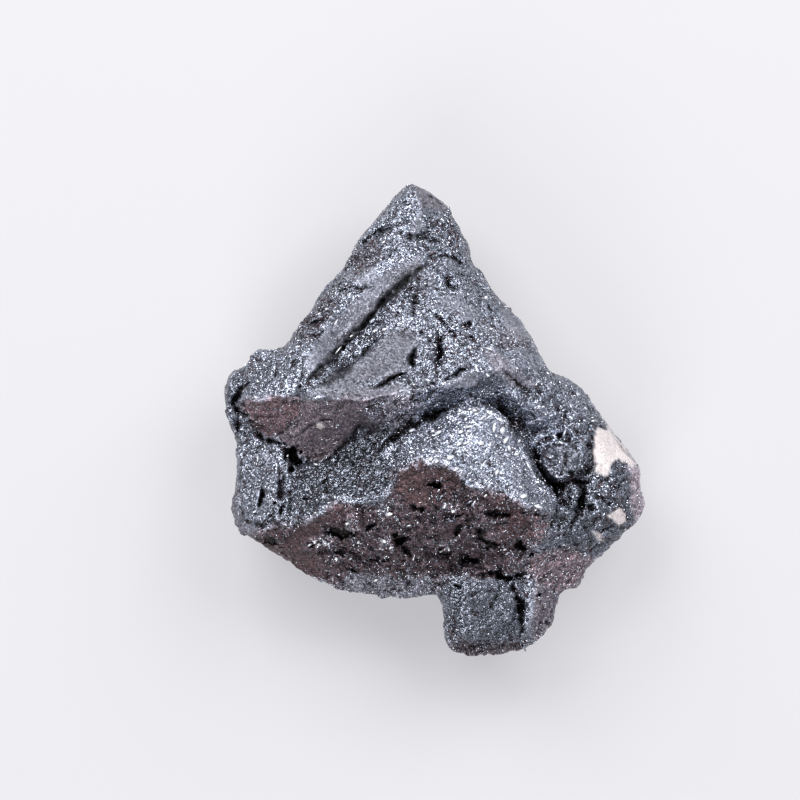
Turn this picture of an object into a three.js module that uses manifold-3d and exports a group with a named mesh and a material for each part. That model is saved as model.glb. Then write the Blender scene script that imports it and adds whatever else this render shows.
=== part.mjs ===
// A hand specimen of hematite after magnetite: one cluster of intergrown dark crystals.
// Millimetres, +Z up. The specimen lies on its broken back, so its best side faces +Z:
// +X is to the right of that side and +Y runs up to the tip of the spear-shaped crystal.
import * as THREE from "three";
import { ConvexGeometry } from "three/addons/geometries/ConvexGeometry.js";
import { ImprovedNoise } from "three/addons/math/ImprovedNoise.js";
import { mergeVertices } from "three/addons/utils/BufferGeometryUtils.js";
import Module from "manifold-3d";

// Heights above the surface that the specimen lies on.
const BELOW = -4; // lumps reach this low before the resting face is cut
const BACK = 3; // where the rim turns under
const RIM = 9; // the widest outline
const LEDGE = 21.3; // base edge of the spear's triangular face
const CREST = 23.6; // highest point, on the dome's broken lip

// The triangular face rises from the tip to its base edge.
const FACE_SLOPE = 0.43;
const BASE_EDGE_Y = 2.5;

// Surface: the longest facet edge, and how far the growth unevenness moves a point.
const FACET_EDGE = 3.2;
const UNEVENNESS = [
  { wave: 6.5, depth: 0.75 },
  { wave: 2.9, depth: 0.34 },
];
const REST_BLEND = 2.5; // above the resting face, the height over which unevenness fades in

// Small crystals and pits: how many places are tried, and their mean radius.
const CRYSTAL_SEED = 71;
const CRYSTAL_TRIES = 300;
const CRYSTAL_RADIUS = 1.05;
const ELSEWHERE = 0.12; // the share of tries that is kept away from the broken side
const PIT_SEED = 19;
const PIT_TRIES = 110;
const PIT_RADIUS = 0.9;

const wasm = await Module();
wasm.setup();

// Solids

// A closed, merged geometry as a manifold-3d solid.
function solidOf(geometry) {
  const bare = geometry.clone();
  bare.deleteAttribute("normal");
  bare.deleteAttribute("uv");
  const merged = mergeVertices(bare, 1e-4);
  return new wasm.Manifold(
    new wasm.Mesh({
      numProp: 3,
      vertProperties: new Float32Array(merged.attributes.position.array),
      triVerts: new Uint32Array(merged.index.array),
    }),
  );
}

// The convex lump whose corners are these points.
function lump(points) {
  return solidOf(new ConvexGeometry(points.map((p) => new THREE.Vector3(...p))));
}

// The same outline point at several heights.
function column([x, y], ...heights) {
  return heights.map((z) => [x, y, z]);
}

const joined = (solids) => solids.reduce((whole, solid) => whole.add(solid));
const carved = (solid, cuts) => cuts.reduce((whole, cut) => whole.subtract(cut), solid);

// Crystals and lumps

// A point of the spear's triangular face, sunk below its plane by the drop.
function onFace(x, y, drop = 0) {
  return [x, y, LEDGE - FACE_SLOPE * (y - BASE_EDGE_Y) - drop];
}

// The blunt tip of the spear-shaped crystal, down to the small step in its right wall.
function spearTip() {
  return lump([
    [-2.8, 23.8, RIM - 0.5],
    [-3.7, 23.2, 10.6],
    [-2.4, 22.9, 11.4],
    ...column([-4.8, 22.2], 6, 10.4),
    ...column([-0.6, 22.5], 6.5, RIM + 0.4),
    ...column([0.9, 21.2], 6, RIM + 1),
    ...column([2.4, 18.9], 5.5, 11.4),
    ...column([2.8, 16.4], 5, 12.4),
    ...column([3.3, 15.4], 5, 12.6),
    ...column([-7.1, 18.8], 6, 12),
    ...column([-8.8, 16.9], 5, 13),
    ...column([-9.3, 15.4], 5, 13.4),
    onFace(-4.2, 18, 0.2),
    onFace(-7.4, 14.4, 0.2),
    onFace(-1.6, 14, -0.3),
    onFace(1.4, 14, 0.6),
    [-2, 20, 4],
    [-3, 12, BACK],
  ]);
}

// The spear's broad body, which carries the triangular face and its base edge.
function spearBody() {
  return lump([
    // left wall and the rounded shoulder above it
    ...column([-9.2, 15.5], BACK + 2, RIM),
    ...column([-12.1, 11.3], BACK + 2, RIM),
    ...column([-15.6, 6.7], BACK + 2, RIM),
    onFace(-9.1, 15.2, 2.2),
    onFace(-15.2, 6.9, 2.2),
    onFace(-7.8, 14.8, 0.3),
    onFace(-13.6, 6.2, 0),
    // base edge of the face
    onFace(-13.4, 2.3),
    onFace(-7.2, 2.0),
    onFace(-2.2, 3.0),
    onFace(3.6, 5.2, 0),
    onFace(6.4, 5.0, 0.6),
    onFace(9.4, 5.4, 2.4),
    // right wall and the shoulder above it
    ...column([2.9, 16.3], BACK + 2, 12.4),
    ...column([5.5, 13.0], BACK + 1, 13.2),
    ...column([8.0, 9.9], BACK, 13.6),
    ...column([9.1, 7.4], BACK, 13.8),
    ...column([10.8, 4.6], BACK, 13.4),
    onFace(1.6, 14.4, 0.8),
    // underside, down to the crevice
    [-13.4, -1.2, 16.6],
    [-9, -1.6, 16.4],
    [-3, 0.4, 16.8],
    [3, 1.8, 16.6],
    [8, 1.8, 15],
    [-12, 2, BACK],
    [-4, -1, BELOW],
    [7, 0, BACK],
  ]);
}

// The nose at the left end of the base edge, with the brown tier under it.
function nose() {
  return lump([
    [-19.9, 2.1, 16.4],
    [-17.4, 2.6, 18.6],
    onFace(-11.6, 2.4, 0),
    onFace(-11.4, 5.4, 0.1),
    onFace(-13.8, 5.4, 0.6),
    ...column([-15.4, 6.8], 6, 15.6),
    ...column([-17.9, 6.7], 6, 13.4),
    ...column([-19.0, 6.0], 6.5, 12.6),
    [-19.7, 4.2, 13.2],
    [-19.2, 0.6, 15],
    [-17.5, -1.0, 14],
    [-15.0, -1.9, 14],
    [-11.4, -1.2, 16],
    ...column([-16.4, 1], 5, 9),
    ...column([-14.6, -3.2], 5, 9.5),
  ]);
}

// The tongue that hangs below the nose over the deep hole.
function tongue() {
  return lump([
    [-15.2, -1.4, 15.2],
    [-14.3, -3.4, 13.8],
    [-13.4, -3.9, 14],
    [-11.6, -3.9, 14.4],
    [-9.6, -2.5, 15.8],
    [-7.4, -0.6, 17.6],
    [-9, 0.8, 19],
    [-13.2, 0.4, 18],
    [-12, -1, 10],
  ]);
}

// The small knob at the left end, behind the nose.
function leftKnob() {
  return lump([
    ...column([-19.7, 5.2], 7, 10.2),
    ...column([-20.9, 4.5], 7, 10.4),
    ...column([-21.1, 2.6], 6.5, 11.4),
    ...column([-20.9, -0.4], 6, 10.8),
    ...column([-20.3, -2.2], 6, 10.2),
    ...column([-15, -3.8], 5, 10.4),
    ...column([-16.5, 3], 5, 12),
  ]);
}

// A thin tier in the crevice, between the spear's underside and the dome.
function creviceTier() {
  return lump([
    [-10.8, -3.4, 15.2],
    [-9.4, -4.4, 16.2],
    [-6.6, -3.8, 17.6],
    [-2.6, -1.0, 17.8],
    [-1.4, 0.4, 17.4],
    [-4.6, 0.4, 16.8],
    [-9.8, -1.8, 15.2],
    [-6, -2, 8],
  ]);
}

// The slab under the spear whose edge is the long broken crest.
function lowerSlab() {
  return lump([
    // crest
    [-18.4, -11.2, 14.4],
    [-14.2, -10.3, 17.6],
    [-12.2, -9.2, 19],
    [-10.6, -8.2, 20.2],
    [-8.8, -7.9, 20.8],
    [-6.4, -8.2, 21.2],
    [-4.6, -6.4, 21.6],
    // upper side, falling back into the crevice
    [-16.2, -5.4, 13.6],
    [-12.5, -3.4, 12.4],
    [-9, -4, 14.6],
    [-4, -2, 17],
    // left wall
    ...column([-19.2, -5.4], 4.5, RIM + 0.5),
    ...column([-20.4, -9.2], 5, RIM + 1.5),
    ...column([-19.7, -11.8], 6, RIM + 1.4),
    // lower outline
    ...column([-18.4, -12.4], 6, RIM),
    ...column([-13.6, -14.0], 5, RIM + 1.4),
    ...column([-10.6, -16.1], 4, RIM + 1.4),
    ...column([-8.4, -17.0], 4, RIM + 1.2),
    ...column([-3.2, -17.6], 4, RIM + 1.6),
    ...column([0.2, -17.2], 4, RIM + 2),
    [2, -14.5, 13],
    [-15, -6, BACK - 1.5],
    [-4, -10, BELOW],
  ]);
}

// The tall block at the left end of the slab.
function leftBlock() {
  return lump([
    ...column([-20.1, -2.1], 5.5, RIM + 1.6),
    ...column([-20.6, -8.6], 5, RIM + 2.2),
    ...column([-20.3, -10.9], 5.5, RIM + 2.4),
    ...column([-19.2, -12.2], 6.5, RIM + 1.8),
    [-18.4, -11.2, 14.8],
    [-16.4, -10.0, 16.4],
    [-15.4, -6.4, 16],
    [-15.0, -3.4, 14.8],
    [-15.8, -2.2, 13.8],
    [-17.8, -1.3, 12.6],
    ...column([-15.2, -4], 5, 9),
    ...column([-14.5, -8], BACK, 13),
    ...column([-12.6, -4.4], 5, 10.5),
  ]);
}

// The domed crystal in the middle. Its upper side catches the light and its lip is the highest line.
function dome() {
  return lump([
    // lip
    [-5.0, -5.4, 21.4],
    [-4.0, -4.7, 22.6],
    [-2.4, -4.2, CREST - 0.2],
    [0, -4.3, CREST],
    [1.6, -5.0, CREST],
    [5, -6.9, CREST - 0.8],
    [8.4, -8.2, CREST - 1.8],
    [11.0, -9.4, 19.2],
    // upper edge, in the crevice
    [-4.0, -2.0, 18.2],
    [-1.8, -0.6, 18.2],
    [1.2, 1.0, 18.2],
    [4.8, 1.2, 18.4],
    [6.6, 0.2, 18.4],
    [7.7, -3.0, 18],
    [9.2, -5.6, 17.4],
    [11.2, -7.6, 16.4],
    // swelling between the two
    [-0.4, -1.8, 21],
    [2.6, -1.4, 21.6],
    [5.4, -2.4, 21.4],
    [7.4, -5.2, 20.8],
    // broken side below the lip
    [-4.8, -8.2, 20.6],
    [-3, -12.4, 16.6],
    [4, -13.6, 15.6],
    [10, -12.6, 15.6],
    // root
    [0, 0, 4],
    [8, 0, 4],
    [10, -12, 4],
    [-2, -12, BELOW],
    [4, -4, BELOW],
  ]);
}

// Two rounded lumps on the broken side, below the right end of the lip.
function brokenSideLumps() {
  return joined([
    lump([
      [4.0, -9.2, 19.6],
      [7, -8.8, 20.4],
      [10.6, -9.8, 18.6],
      [11.4, -11.6, 16.4],
      [9, -12.5, 16],
      [6.4, -12.4, 16],
      [4.6, -11.6, 16.4],
      [7, -10, 8],
    ]),
    lump([
      [4.8, -13.8, 15.6],
      [6.4, -13.0, 16.6],
      [8.2, -13.2, 16],
      [8.6, -14.6, 14.6],
      [6.8, -15.4, 14.2],
      [5, -15, 14.2],
      [6, -13, 6],
    ]),
  ]);
}

// The dark flank that runs from the spear's base edge down to the right lobe.
function rightFlank() {
  return lump([
    [6.4, 3.8, 18.4],
    [9.6, 4.7, 17.2],
    ...column([10.9, 4.3], 5, 14.6),
    ...column([12.6, 3.7], 6, 13.6),
    [13.8, 1.4, 14.6],
    [13.4, -1.8, 14.2],
    [10.4, -2.6, 13.8],
    [8.6, -1.2, 14.2],
    [7.4, 1.2, 15.6],
    [9, -1, 4],
  ]);
}

// The rough lobe at the right, which carries the pale patch.
function rightLobe() {
  return lump([
    ...column([11.6, 4.2], 6, 12.2),
    ...column([13.2, 3.9], 6.5, 12.2),
    ...column([14.5, 3.0], 6, 12.4),
    ...column([15.2, 1.6], 6, 12.8),
    ...column([16.0, 0.0], 6, 12.4),
    ...column([18.6, -2.9], 5.5, 11.4),
    ...column([19.6, -4.6], 5.5, 10.8),
    ...column([19.8, -6.4], 5.5, 10.4),
    [13.6, 0.8, 15.4],
    [16.2, -2.6, 14.6],
    [17.2, -5.6, 13.6],
    [14.6, -7.4, 13.2],
    [10, -6, 12.6],
    [9, 2, BACK],
    [14, -8, BACK - 1.5],
    [4, -4, BELOW],
  ]);
}

// The lower half of the right lobe, with the small bulge at its right.
function lowerRightLobe() {
  return lump([
    ...column([18.5, -5.6], 5.5, 12.4),
    ...column([19.6, -6.8], 5.5, 11),
    ...column([20.3, -8.2], 6, 10.2),
    ...column([19.8, -9.6], 6, 9.8),
    ...column([18.2, -11.4], 5.5, 9.6),
    ...column([16.0, -13.4], 5, 10),
    ...column([11.6, -12.6], 5, 11),
    [14.4, -12.4, 12.6],
    [11.4, -10.6, 14.8],
    [11.6, -7.8, 14],
    [14.6, -6.4, 13.4],
    [17.4, -8.4, 12.8],
    [13, -9, BACK],
    [8, -8, BELOW],
  ]);
}

// The knob across the deep notch from the dome.
function notchKnob() {
  return lump([
    [9.9, -2.3, 15.4],
    [11.4, -2.0, 16.4],
    [13.2, -2.2, 16.4],
    [13.9, -3.6, 15.6],
    [13.2, -5.2, 14.8],
    [11.8, -5.9, 14.4],
    [10.4, -4.8, 14.6],
    [12, -4, 8],
  ]);
}

// The paler face that slopes from the broken side to the outline above the foot.
function lowerRightSlope() {
  return lump([
    ...column([6.4, -12.6], 5, 14.6),
    [11.2, -10.8, 15.4],
    [14.6, -11.6, 13],
    ...column([15.9, -13.4], 5, 9.8),
    ...column([14.8, -14.9], 5, 9.4),
    ...column([13.8, -16.4], 5.5, 9.6),
    ...column([12.0, -17.0], 5, 10.2),
    ...column([6.4, -17.4], 5, 12.8),
  ]);
}

// The foot: a blocky crystal below the broken face, and the round lobe beside it.
function footBlock() {
  return lump([
    ...column([0.4, -15.0], 4, 13),
    ...column([0.5, -18.6], 4.5, 11.4),
    ...column([1.3, -22.3], 5.5, 10.2),
    ...column([2.1, -23.2], 6, 9.8),
    ...column([6.2, -23.8], 6, 9.8),
    [1.6, -16.2, 14],
    [2.6, -21.6, 12.8],
    [6.4, -22.2, 12.6],
    ...column([7.6, -22.6], 5.5, 11.2),
    ...column([7.9, -15.4], 4, 13.6),
    ...column([4, -13], 4, 13),
  ]);
}

function footLobe() {
  return lump([
    ...column([7.6, -15.4], 5, 13.2),
    ...column([7.4, -23.3], 6, 10),
    ...column([8.9, -22.7], 6, 9.8),
    ...column([10.3, -21.7], 6, 9.6),
    ...column([11.2, -20.1], 6, 9.8),
    ...column([11.6, -18.0], 5.5, 10.4),
    ...column([11.8, -16.2], 5, 11),
    [8.4, -21.4, 12],
    [9.8, -19.8, 12.4],
    [10.4, -17.6, 12.8],
  ]);
}

// The back: rougher crystals round the stub that the cluster was broken from.
function backCrystals() {
  return joined([
    lump([
      [-13, 9, 6],
      [-6, 17, 6],
      [3, 12, 6],
      [6, 4, 4],
      [-9, 9, 1.6],
      [-2, 11, 1.2],
      [3, 5, 0.8],
      [-11, 1, BELOW],
      [-2, -2, BELOW],
    ]),
    lump([
      [-17, -2, 6],
      [-12, -13, 5],
      [-8, -2, BELOW],
      [-11, -8, BELOW],
      [-3, -14, BELOW],
      [0, -15.5, 5],
      [0, 0, BELOW],
    ]),
    lump([
      [2, -16, 6],
      [13, -11, 6],
      [16, -3, 6],
      [10, 3, 5],
      [11, -6, BELOW],
      [3, -12, BELOW],
      [2, 2, BELOW],
      [-2, -4, 6],
    ]),
  ]);
}

// Recesses and cracks

// A hopper along the line from start to end: a wall on its left side, tapering out at both ends,
// and a floor that rises from the depth at the wall to nothing at the distance shelf on its right.
function hopper({ start, end, depth, shelf, above = 3 }) {
  const [a, b] = [start, end].map((p) => new THREE.Vector3(...p));
  const along = b.clone().sub(a).setZ(0).normalize();
  const away = new THREE.Vector3(along.y, -along.x, 0);
  const place = (way, out, drop) =>
    a.clone().lerp(b, way).addScaledVector(away, out).add(new THREE.Vector3(0, 0, -drop));
  return solidOf(
    new ConvexGeometry([
      place(0, 0, 0),
      place(0, 0, -above),
      place(1, 0, 0),
      place(1, 0, -above),
      place(0.3, 0.3, depth * 0.8),
      place(0.7, 0.3, depth),
      place(0.3, shelf, 0),
      place(0.3, shelf, -above),
      place(0.85, shelf * 0.8, 0),
      place(0.85, shelf * 0.8, -above),
    ]),
  );
}

// A crack: a wedge from start to end, width wide at the top and closing at the depth.
function crack({ start, end, width, depth, above = 2 }) {
  const [a, b] = [start, end].map((p) => new THREE.Vector3(...p));
  const along = b.clone().sub(a).setZ(0).normalize();
  const side = new THREE.Vector3(along.y, -along.x, 0).multiplyScalar(width / 2);
  const middle = a.clone().lerp(b, 0.5);
  const down = new THREE.Vector3(0, 0, -depth);
  const up = new THREE.Vector3(0, 0, above);
  return solidOf(
    new ConvexGeometry([
      middle.clone().add(side).add(up),
      middle.clone().sub(side).add(up),
      middle.clone().add(side).addScaledVector(down, 0.3),
      middle.clone().sub(side).addScaledVector(down, 0.3),
      middle.clone().add(down),
      a,
      a.clone().add(up),
      b,
      b.clone().add(up),
    ]),
  );
}

// The hopper in the triangular face, the gaps between tiers, and the notch beside the dome.
function recesses() {
  return [
    hopper({ start: onFace(-1.4, 15.8), end: onFace(-13.1, 3.9), depth: 2.4, shelf: 7 }),
    hopper({ start: onFace(-5.0, 8.6, 0.7), end: onFace(-10.8, 4.2, 1), depth: 0.9, shelf: 3.5 }),
    crack({ start: onFace(-6.4, 3.3), end: onFace(-3.2, 4.9), width: 0.7, depth: 2.4 }),
    crack({ start: onFace(-2.9, 5.2), end: onFace(-2.3, 7.4), width: 0.8, depth: 2 }),
    crack({ start: onFace(0.1, 5.6), end: onFace(-0.2, 8.2), width: 0.9, depth: 1.2 }),
    crack({ start: [7.9, -15.6, 13.6], end: [8.2, -22.0, 12.2], width: 1, depth: 3 }),
    crack({ start: [9.0, -2.6, 17.6], end: [11.8, -7.0, 16.4], width: 1.4, depth: 6 }),
  ];
}

// Small crystals and pits

// The same run of numbers from 0 to 1 each time, from a seed.
function randomFrom(seed) {
  let state = seed;
  return () => {
    state = (state * 1664525 + 1013904223) % 4294967296;
    return state / 4294967296;
  };
}

// Places spread over a solid's surface, as many per area on each facet, with the facet's normal.
function placesOn(solid, count, random) {
  const { numProp, vertProperties, triVerts } = solid.getMesh();
  const corner = (i) => new THREE.Vector3(...vertProperties.slice(i * numProp, i * numProp + 3));
  const facets = [];
  let total = 0;
  for (let i = 0; i < triVerts.length; i += 3) {
    const facet = new THREE.Triangle(...[0, 1, 2].map((k) => corner(triVerts[i + k])));
    total += facet.getArea();
    facets.push({ facet, upTo: total });
  }
  return Array.from({ length: count }, () => {
    const pick = random() * total;
    const { facet } = facets.find(({ upTo }) => pick <= upTo);
    const [u, v] = [random(), random()].sort((p, q) => p - q);
    const point = facet.a.clone().multiplyScalar(u).addScaledVector(facet.b, v - u);
    return { point: point.addScaledVector(facet.c, 1 - v), normal: facet.getNormal(new THREE.Vector3()) };
  });
}

// An irregular, slightly flattened octahedron of this radius at the point, turned at random.
function smallCrystal(point, radius, random) {
  const turn = new THREE.Euler(...[0, 0, 0].map(() => random() * Math.PI * 2));
  const ends = [[1, 0, 0], [-1, 0, 0], [0, 1, 0], [0, -1, 0], [0, 0, 0.7], [0, 0, -0.7]];
  const corners = ends.map((end) =>
    new THREE.Vector3(...end)
      .multiplyScalar(radius * (0.75 + 0.5 * random()))
      .applyEuler(turn)
      .add(point),
  );
  return solidOf(new ConvexGeometry(corners));
}

// Crystals half sunk in the surface, most of them on the broken side below the crest.
function withSmallCrystals(body) {
  const random = randomFrom(CRYSTAL_SEED);
  const crystals = placesOn(body, CRYSTAL_TRIES, random)
    .filter(({ point, normal }) => point.z > BACK && (isOnBrokenSide(point, normal) || random() < ELSEWHERE))
    .map(({ point, normal }) => {
      const radius = CRYSTAL_RADIUS * (0.6 + 0.8 * random());
      return smallCrystal(point.addScaledVector(normal, -0.35 * radius), radius, random);
    });
  return body.add(joined(crystals));
}

// Angular pits on the broken side.
function withPits(body) {
  const random = randomFrom(PIT_SEED);
  const pits = placesOn(body, PIT_TRIES, random)
    .filter(({ point, normal }) => isOnBrokenSide(point, normal))
    .map(({ point }) => smallCrystal(point, PIT_RADIUS * (0.6 + 0.8 * random()), random));
  return body.subtract(joined(pits));
}

// The broken side faces down the slope from the crest and from the dome's lip.
function isOnBrokenSide(point, normal) {
  return point.z > RIM && point.y < -7 && normal.y < -0.35;
}

// Surface

// Splits every facet edge longer than the limit, again and again, keeping the mesh closed.
function splitLongEdges(points, faces, limit) {
  let work = faces;
  for (;;) {
    const middles = new Map();
    const middleOf = (a, b) => {
      const key = a < b ? `${a},${b}` : `${b},${a}`;
      if (!middles.has(key)) {
        const long = points[a].distanceTo(points[b]) > limit;
        middles.set(key, long ? points.push(points[a].clone().lerp(points[b], 0.5)) - 1 : -1);
      }
      return middles.get(key);
    };
    const next = [];
    for (const face of work) next.push(...splitFace(face, points, middleOf));
    if (next.length === work.length) return work;
    work = next;
  }
}

// One triangle as one to four, depending on which of its edges have a middle point.
function splitFace([a, b, c], points, middleOf) {
  const [ab, bc, ca] = [middleOf(a, b), middleOf(b, c), middleOf(c, a)];
  const count = [ab, bc, ca].filter((m) => m >= 0).length;
  if (count === 0) return [[a, b, c]];
  if (count === 3) {
    return [[a, ab, ca], [ab, b, bc], [ca, bc, c], [ab, bc, ca]];
  }
  if (count === 1) {
    if (ab >= 0) return [[a, ab, c], [ab, b, c]];
    if (bc >= 0) return [[a, b, bc], [a, bc, c]];
    return [[a, b, ca], [ca, b, c]];
  }
  if (ab < 0) return splitTwo(c, a, b, ca, bc, points);
  if (bc < 0) return splitTwo(a, b, c, ab, ca, points);
  return splitTwo(b, c, a, bc, ab, points);
}

// The triangle p, q, r, split where both edges at p have a middle: pq and rp.
function splitTwo(p, q, r, pq, rp, points) {
  const acrossQ = points[q].distanceTo(points[rp]);
  const acrossR = points[r].distanceTo(points[pq]);
  return acrossQ < acrossR
    ? [[p, pq, rp], [pq, q, rp], [q, r, rp]]
    : [[p, pq, rp], [pq, q, r], [pq, r, rp]];
}

const noise = new ImprovedNoise();

// Moves a point by a smooth noise of its place, which bends flat facets and straight edges.
// The movement fades out towards the resting face, which stays flat.
function uneven(point) {
  const fade = THREE.MathUtils.smoothstep(point.z, 0, REST_BLEND);
  const shift = new THREE.Vector3();
  for (const { wave, depth } of UNEVENNESS) {
    const [x, y, z] = point.toArray().map((v) => v / wave);
    shift.x += depth * noise.noise(x + 11.3, y, z);
    shift.y += depth * noise.noise(x, y + 23.7, z);
    shift.z += depth * noise.noise(x, y, z + 37.1) * fade;
  }
  return point.add(shift);
}

// The finished surface of a solid: short facets, unevenly grown, as a three.js geometry.
function grownSurface(solid) {
  const { numProp, vertProperties, triVerts } = solid.getMesh();
  const points = [];
  for (let i = 0; i < vertProperties.length; i += numProp) {
    points.push(new THREE.Vector3(...vertProperties.slice(i, i + 3)));
  }
  const faces = [];
  for (let i = 0; i < triVerts.length; i += 3) faces.push([...triVerts.slice(i, i + 3)]);
  const fine = splitLongEdges(points, faces, FACET_EDGE);
  const places = points.map(uneven).flatMap((p) => p.toArray());
  return new THREE.BufferGeometry()
    .setAttribute("position", new THREE.Float32BufferAttribute(places, 3))
    .setIndex(fine.flat());
}

// Moves a geometry so that it stands on the origin, with its box centred over it.
function centred(geometry) {
  geometry.computeBoundingBox();
  const middle = geometry.boundingBox.getCenter(new THREE.Vector3());
  return geometry.translate(-middle.x, -middle.y, 0);
}

function specimen() {
  const lumps = joined([
    spearTip(),
    spearBody(),
    nose(),
    tongue(),
    leftKnob(),
    creviceTier(),
    lowerSlab(),
    leftBlock(),
    dome(),
    brokenSideLumps(),
    rightFlank(),
    rightLobe(),
    lowerRightLobe(),
    notchKnob(),
    lowerRightSlope(),
    footBlock(),
    footLobe(),
    backCrystals(),
  ]);
  const rough = withSmallCrystals(withPits(carved(lumps, recesses())));
  const restingCut = new THREE.BoxGeometry(80, 80, 20).translate(0, 0, -10);
  return centred(grownSurface(carved(rough, [solidOf(restingCut)])));
}

const hematite = new THREE.MeshStandardMaterial({ color: 0x4a4c54, roughness: 0.42, metalness: 0.7 });

const cluster = new THREE.Mesh(specimen(), hematite);
cluster.name = "hematite_cluster";

const group = new THREE.Group();
group.add(cluster);

export default group;
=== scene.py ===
"""A hand specimen of hematite after magnetite: its fine crystal surface, its glitter and its finishes.

Lengths are in millimetres until a mesh is written, when they become metres. The specimen lies on its
broken back: +Z comes out of its best side, +Y runs to the tip of the spear-shaped crystal.
"""

from __future__ import annotations

import logging
from dataclasses import dataclass, field
from enum import Enum

import bpy
import numpy as np
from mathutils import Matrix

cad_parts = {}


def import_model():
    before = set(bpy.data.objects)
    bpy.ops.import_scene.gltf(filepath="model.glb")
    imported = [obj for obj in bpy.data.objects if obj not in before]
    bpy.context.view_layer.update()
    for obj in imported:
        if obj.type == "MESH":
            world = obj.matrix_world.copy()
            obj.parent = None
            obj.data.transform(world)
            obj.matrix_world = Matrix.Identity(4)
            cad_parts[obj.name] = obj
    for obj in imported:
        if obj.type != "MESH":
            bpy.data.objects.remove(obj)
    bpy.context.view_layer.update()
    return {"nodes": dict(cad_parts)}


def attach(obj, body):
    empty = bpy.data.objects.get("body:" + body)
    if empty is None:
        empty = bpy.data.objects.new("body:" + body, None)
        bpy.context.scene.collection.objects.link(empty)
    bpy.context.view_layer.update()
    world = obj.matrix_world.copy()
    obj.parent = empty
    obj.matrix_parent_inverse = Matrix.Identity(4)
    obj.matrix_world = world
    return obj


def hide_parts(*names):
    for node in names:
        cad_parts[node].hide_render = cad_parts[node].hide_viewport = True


LOG = logging.getLogger("hematite")
MM = 0.001
BODY = "root"
CLUSTER_NODE = "hematite_cluster"

Path = tuple[tuple[float, float], ...]
Socket = bpy.types.NodeSocket


def smoothstep(low: float, high: float, value: np.ndarray) -> np.ndarray:
    """Rises smoothly from 0 at low to 1 at high: 3t squared minus 2t cubed.

    Args:
        low: the value that gives 0.
        high: the value that gives 1.
        value: any array.

    Returns:
        An array of the same shape, from 0 to 1.
    """
    t = np.clip((value - low) / (high - low), 0.0, 1.0)
    return t * t * (3.0 - 2.0 * t)


def unit(vectors: np.ndarray) -> np.ndarray:
    """Each vector over its own length.

    Args:
        vectors: an array whose last axis holds the components.

    Returns:
        Vectors of length 1, of the same shape.
    """
    return vectors / np.maximum(np.linalg.norm(vectors, axis=-1, keepdims=True), 1e-12)


@dataclass(frozen=True)
class Lattice:
    """Repeatable random numbers tied to whole-number places in space."""

    seed: int

    def values(self, cells: np.ndarray, channel: int = 0) -> np.ndarray:
        """One number per cell, by multiplying, adding and mixing the bits of its three integers.

        Args:
            cells: integers, with x, y, z on the last axis.
            channel: gives independent numbers for the same cells.

        Returns:
            Numbers from 0 to 1.
        """
        c = cells.astype(np.int64).astype(np.uint32)
        start = np.uint32((self.seed * 7919 + channel * 104729 + 1) & 0xFFFFFFFF)
        mixed = c[..., 0] * np.uint32(374761393)
        mixed = mixed + c[..., 1] * np.uint32(668265263)
        mixed = mixed + c[..., 2] * np.uint32(2246822519) + start
        for shift in (15, 13, 16):
            mixed = (mixed ^ (mixed >> np.uint32(shift))) * np.uint32(2654435761)
        return (mixed >> np.uint32(8)).astype(np.float64) / float(1 << 24)


@dataclass(frozen=True)
class SoftNoise:
    """Smooth random waviness in space."""

    seed: int

    def at(self, points: np.ndarray, wave: float) -> np.ndarray:
        """The eight lattice values round each point, blended by a smooth weight along each axis.

        Args:
            points: places, in millimetres.
            wave: the lattice spacing, in millimetres.

        Returns:
            Numbers from -1 to 1, one for each point.
        """
        place = points / wave
        low = np.floor(place)
        t = place - low
        t = t * t * t * (t * (t * 6.0 - 15.0) + 10.0)
        low = low.astype(np.int64)
        lattice = Lattice(self.seed)
        total = np.zeros(len(points))
        for corner in np.ndindex(2, 2, 2):
            corner = np.array(corner)
            weight = np.prod(np.where(corner == 1, t, 1.0 - t), axis=1)
            total += weight * lattice.values(low + corner)
        return total * 2.0 - 1.0

    def layered(self, points: np.ndarray, wave: float, layers: int = 3, gain: float = 0.5) -> np.ndarray:
        """A sum of waves, each half as long as the one before and gain times as high.

        Args:
            points: places, in millimetres.
            wave: the longest wave, in millimetres.
            layers: how many waves are added.
            gain: each layer's height over that of the one before.

        Returns:
            Numbers from about -1 to 1, one for each point.
        """
        total = np.zeros(len(points))
        height, whole = 1.0, 0.0
        for layer in range(layers):
            shifted = points + 17.3 * layer
            total += height * SoftNoise(self.seed + layer).at(shifted, wave / 2.0**layer)
            whole += height
            height *= gain
        return total / whole


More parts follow.
